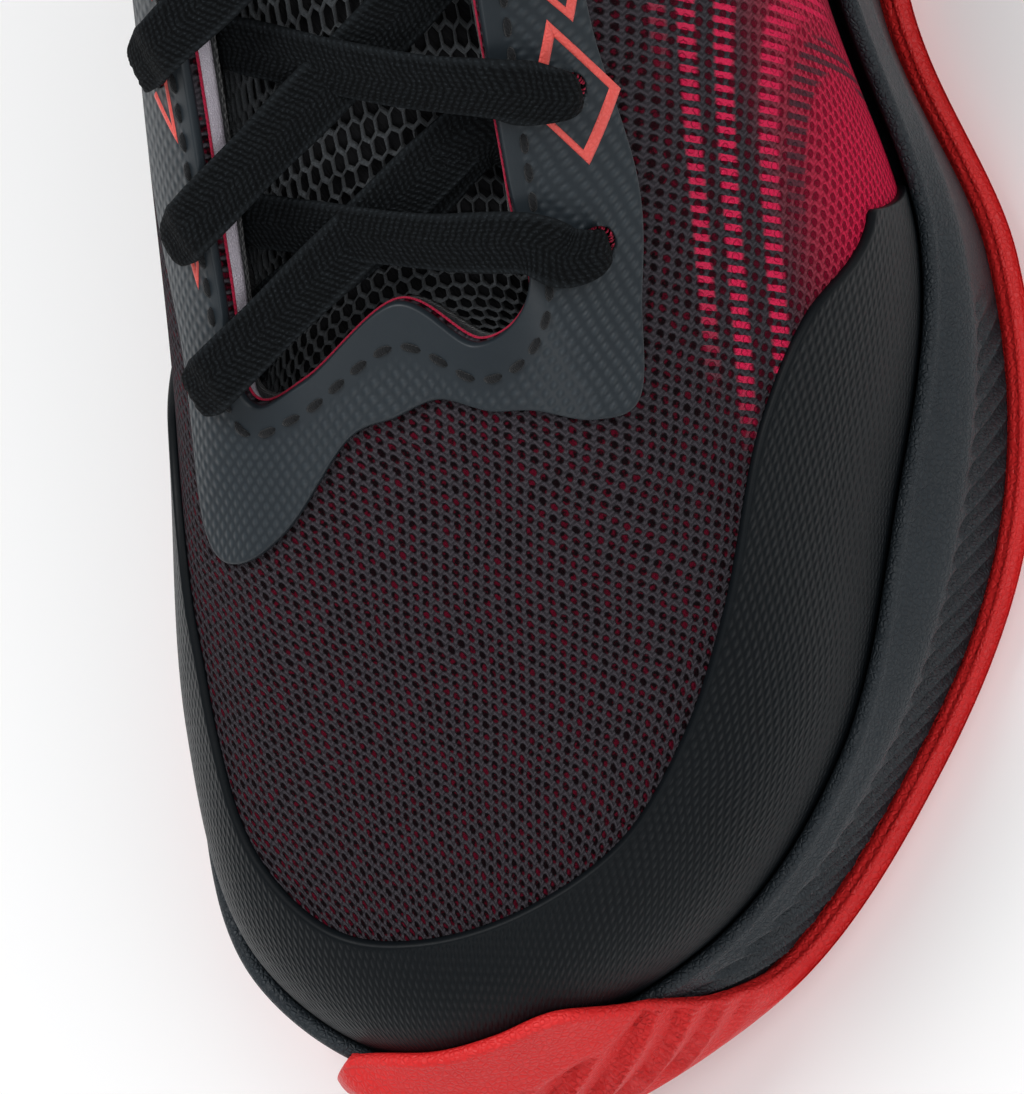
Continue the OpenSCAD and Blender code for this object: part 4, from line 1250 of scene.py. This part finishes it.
# ---------------------------------------------------------------- collar
def collar_roll(name, mat):
    """Lining that rises over the padding and turns over the top line to the outside."""
    u0, u1 = THROAT_B + 0.02, THROAT_A + N_ST - 0.02
    u = np.linspace(u0, u1, 300)
    v = np.linspace(0.04, 1.0, 80)
    uu, vv = np.meshgrid(u, v, indexing="ij")
    out = on_upper(uu, vv, LINING_OUT + 0.3 - swell(vv))
    inn = on_upper(uu, vv, LINING_IN - swell(vv))
    top = upper(u, 1)
    up = unit(top - upper(u, 0.97))
    n = upper_n(u, 1)
    ang = np.linspace(0, math.pi, 15)[1:]
    a, b = LINING_IN, 0.75
    mid, r = (a + b) / 2, (b - a) / 2
    fade = np.clip(np.minimum(u - u0, u1 - u) / 0.05, 0, 1) ** 0.5
    arc_i = np.stack([top + n * (mid - r * math.cos(x)) + up * (2.4 * math.sin(x) * fade)[:, None]
                      for x in ang], 1)
    arc_o = np.stack([top + n * (mid - (r - 0.8) * math.cos(x))
                      + up * ((2.4 * math.sin(x) - 0.8) * fade)[:, None] for x in ang], 1)
    drop = np.stack([upper(u, 1 - 0.012 * k) + n * 0.75 for k in (1, 2, 3, 4)], 1)
    drop_o = np.stack([upper(u, 1 - 0.012 * k) + n * 0.1 for k in (1, 2, 3, 4)], 1)
    inner = np.concatenate([inn, arc_i, drop], 1)
    outer = np.concatenate([out, arc_o, drop_o], 1)
    co, faces = shell(outer, inner)
    return solid(name, co, faces, mat, "root", "lining")


lining = collar_roll("collar_lining_roll", LINING)
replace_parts(lining, "collar_lining")
collar_u = np.linspace(THROAT_B + 0.1, THROAT_A + N_ST - 0.1, 60)
stitches("collar_stitch", [(u, 0.935) for u in collar_u], 0.6, THREAD, "panel_fabric", 2.6, 1.1)
for name, u in (("quarter_seam_medial", KNIT_B + 0.06), ("quarter_seam_lateral", KNIT_A + N_ST - 0.06)):
    stitches(name, [(u, v) for v in np.linspace(0.14, 0.90, 12)], 0.6, THREAD, "panel_fabric")


def soft_collar(name):
    """Foam under the collar lining: one crowned form, pulled in at its edges."""
    nu, nv = 220, 34
    low, high = 0.635, 0.985
    u = np.linspace(THROAT_B + 0.06, THROAT_A + N_ST - 0.06, nu)[:, None]
    v = np.linspace(low, high, nv)[None, :]
    u, v = np.broadcast_arrays(u, v)
    end = np.clip(np.minimum(u - u[0], u[-1] - u) / 0.12, 0, 1)
    edge_v = np.clip(np.minimum(v - low, high - v) / 0.05, 0, 1)
    puff = np.sqrt(1 - (1 - end) ** 2) * np.sqrt(1 - (1 - edge_v) ** 2)
    t_out = np.full(u.shape, FOAM_OUT - 0.15) - 0.6 * (1 - puff)
    t_in = FOAM_OUT - 0.8 - (1.0 + np.maximum(swell(v) - 0.5, 0)) * puff
    co, faces = shell(on_upper(u, v, t_out), on_upper(u, v, t_in))
    return solid(name, co, faces, FOAM, "root", "white_foam")


def inflate(obj, voxel, cap, frames=20, pressure=4.0):
    """Swells a closed form by cloth simulation; no point moves further than cap."""
    mod = obj.modifiers.new("remesh", "REMESH")
    mod.mode, mod.voxel_size = "VOXEL", voxel * MM
    dg = bpy.context.evaluated_depsgraph_get()
    me = bpy.data.meshes.new_from_object(obj.evaluated_get(dg))
    obj.modifiers.clear()
    obj.data = me
    src = np.empty(len(me.vertices) * 3, np.float32)
    me.vertices.foreach_get("co", src)
    src = src.reshape(-1, 3).copy()
    cloth = obj.modifiers.new("cloth", "CLOTH")
    cloth.settings.use_pressure = True
    cloth.settings.uniform_pressure_force = pressure
    cloth.settings.effector_weights.gravity = 0
    cloth.settings.quality = 5
    cloth.point_cache.frame_start, cloth.point_cache.frame_end = 1, frames
    scene = bpy.context.scene
    for f in range(1, frames + 1):
        scene.frame_set(f)
    dg = bpy.context.evaluated_depsgraph_get()
    ev = obj.evaluated_get(dg)
    got = np.empty(len(ev.data.vertices) * 3, np.float32)
    ev.data.vertices.foreach_get("co", got)
    got = got.reshape(-1, 3)
    move = got - src
    far = np.linalg.norm(move, axis=1, keepdims=True)
    move *= np.minimum(1, cap * MM / np.maximum(far, 1e-9))
    obj.modifiers.clear()
    scene.frame_set(1)
    obj.data.vertices.foreach_set("co", (src + move).ravel())
    obj.data.update()
    return obj


cushion = soft_collar("collar_cushion")
inflate(cushion, 2.2, 0.6)
sub = cushion.modifiers.new("sub", "SUBSURF")
sub.levels = sub.render_levels = 1
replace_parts(cushion, "collar_padding")


# ---------------------------------------------------------------- loops
def web_band(name, at, lean, width, rise, depth, band_t, body):
    """A folded webbing loop with rounded edges, bar-tacked at its foot."""
    r = depth / 2 - band_t / 2
    path = [(-r, z) for z in np.linspace(band_t / 2, rise - depth / 2, 24)]
    path += [(-r * math.cos(a), rise - depth / 2 + r * math.sin(a))
             for a in np.linspace(0, math.pi, 24)[1:-1]]
    path += [(r, z) for z in np.linspace(rise - depth / 2, band_t / 2, 24)]
    path += [(y, band_t / 2) for y in np.linspace(r, -r, 8)[1:-1]]
    path = np.array(path)
    n = len(path)
    tan = unit(np.roll(path, -1, 0) - np.roll(path, 1, 0))
    out = np.stack([-tan[:, 1], tan[:, 0]], -1)
    ang = circle(28)
    cx = power(np.cos(ang), 0.45) * width / 2
    cy = power(np.sin(ang), 0.8) * band_t / 2
    rib = 1 + 0.12 * np.cos(cx * 2 * math.pi / 1.6)
    co = np.zeros((n, 28, 3))
    co[..., 0] = cx
    co[..., 1] = path[:, 0:1] + out[:, 0:1] * cy * rib
    co[..., 2] = path[:, 1:2] + out[:, 1:2] * cy * rib
    a = math.radians(lean)
    turn = np.array([[1, 0, 0], [0, math.cos(a), -math.sin(a)], [0, math.sin(a), math.cos(a)]])
    co = co.reshape(-1, 3) @ turn.T + at
    return solid(name, co, ring_faces(n, 28, closed=True), WEB, body, "webbing")


HEEL_AT = on_upper(0, 0.84, GAP) + np.array([0, 9.5 / 2 + 0.6, 0])
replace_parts(web_band("heel_loop_web", HEEL_AT, -19, 16, 30, 9.5, 1.4, "heel_loop"), "heel_pull_loop")
TONGUE_AT = on_tongue(1.5, 0.5, 3.5 * GAP + 3)
TONGUE_LEAN = -math.degrees(math.atan(17 / 29))
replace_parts(web_band("tongue_loop_web", TONGUE_AT, TONGUE_LEAN, 14, 19, 6, 1.2, "tongue_loop"),
            "tongue_pull_loop")


# ---------------------------------------------------------------- inside
def sock():
    rings = []
    p = on_upper(US, 0.03, UNDER_LINING - 0.3)
    base = feather(US)[:, 2]
    for d, z in ((0, -0.3), (0, SOCK_T - 1.2), (0.4, SOCK_T - 0.4), (1.2, SOCK_T)):
        rings.append(with_z(inset(p, d), base + z))
    return stack("sockliner_pad", rings, LINING, "sock_fabric", cap=30)


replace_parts(sock(), "sockliner")


# CAD nodes that stay shown get a finished material
for node, mat in (("shank_plate", TPU), ("strobel_board", STIFF), ("toe_puff", STIFF),
                  ("heel_counter", STIFF), ("aglets", TPU)):
    bare = frame["nodes"][node].data.materials
    bare.clear()
    bare.append(mat)


# ---------------------------------------------------------------- studio
def studio():
    n = Nodes("floor", rough=0.9, spec=0.1)
    n.colour((0.86, 0.86, 0.86))
    n.bsdf.inputs["Emission Color"].default_value = (1, 1, 1, 1)
    n.bsdf.inputs["Emission Strength"].default_value = 0.10
    half = 4.0
    me = bpy.data.meshes.new("floor")
    me.from_pydata([(x * half, y * half, 0) for x, y in ((-1, -1), (1, -1), (1, 1), (-1, 1))],
                   [], [(0, 1, 2, 3)])
    me.materials.append(n.mat)
    floor = bpy.data.objects.new("floor", me)
    bpy.context.scene.collection.objects.link(floor)
    floor.location.z = -0.0002
    for name, place, aim, size, power in (
            ("key", (-0.55, 0.45, 1.35), (0, -0.03, 0.05), 0.9, 13),
            ("fill", (0.75, 0.2, 1.25), (0, -0.03, 0.05), 1.1, 7),
            ("front", (0.1, -1.2, 0.9), (0, -0.03, 0.05), 1.0, 4)):
        data = bpy.data.lights.new(name, "AREA")
        data.shape, data.size, data.energy = "DISK", size, power
        lamp = bpy.data.objects.new(name, data)
        bpy.context.scene.collection.objects.link(lamp)
        lamp.location = place
        lamp.rotation_mode = "QUATERNION"
        lamp.rotation_quaternion = (Vector(aim) - Vector(place)).to_track_quat("-Z", "Y")
    world = bpy.context.scene.world or bpy.data.worlds.new("world")
    bpy.context.scene.world = world
    world.use_nodes = True
    back = world.node_tree.nodes.get("Background") or world.node_tree.nodes.new("ShaderNodeBackground")
    back.inputs["Color"].default_value = (0.96, 0.98, 1.0, 1)
    back.inputs["Strength"].default_value = 0.34
    bpy.context.scene.view_settings.view_transform = "Standard"


studio()
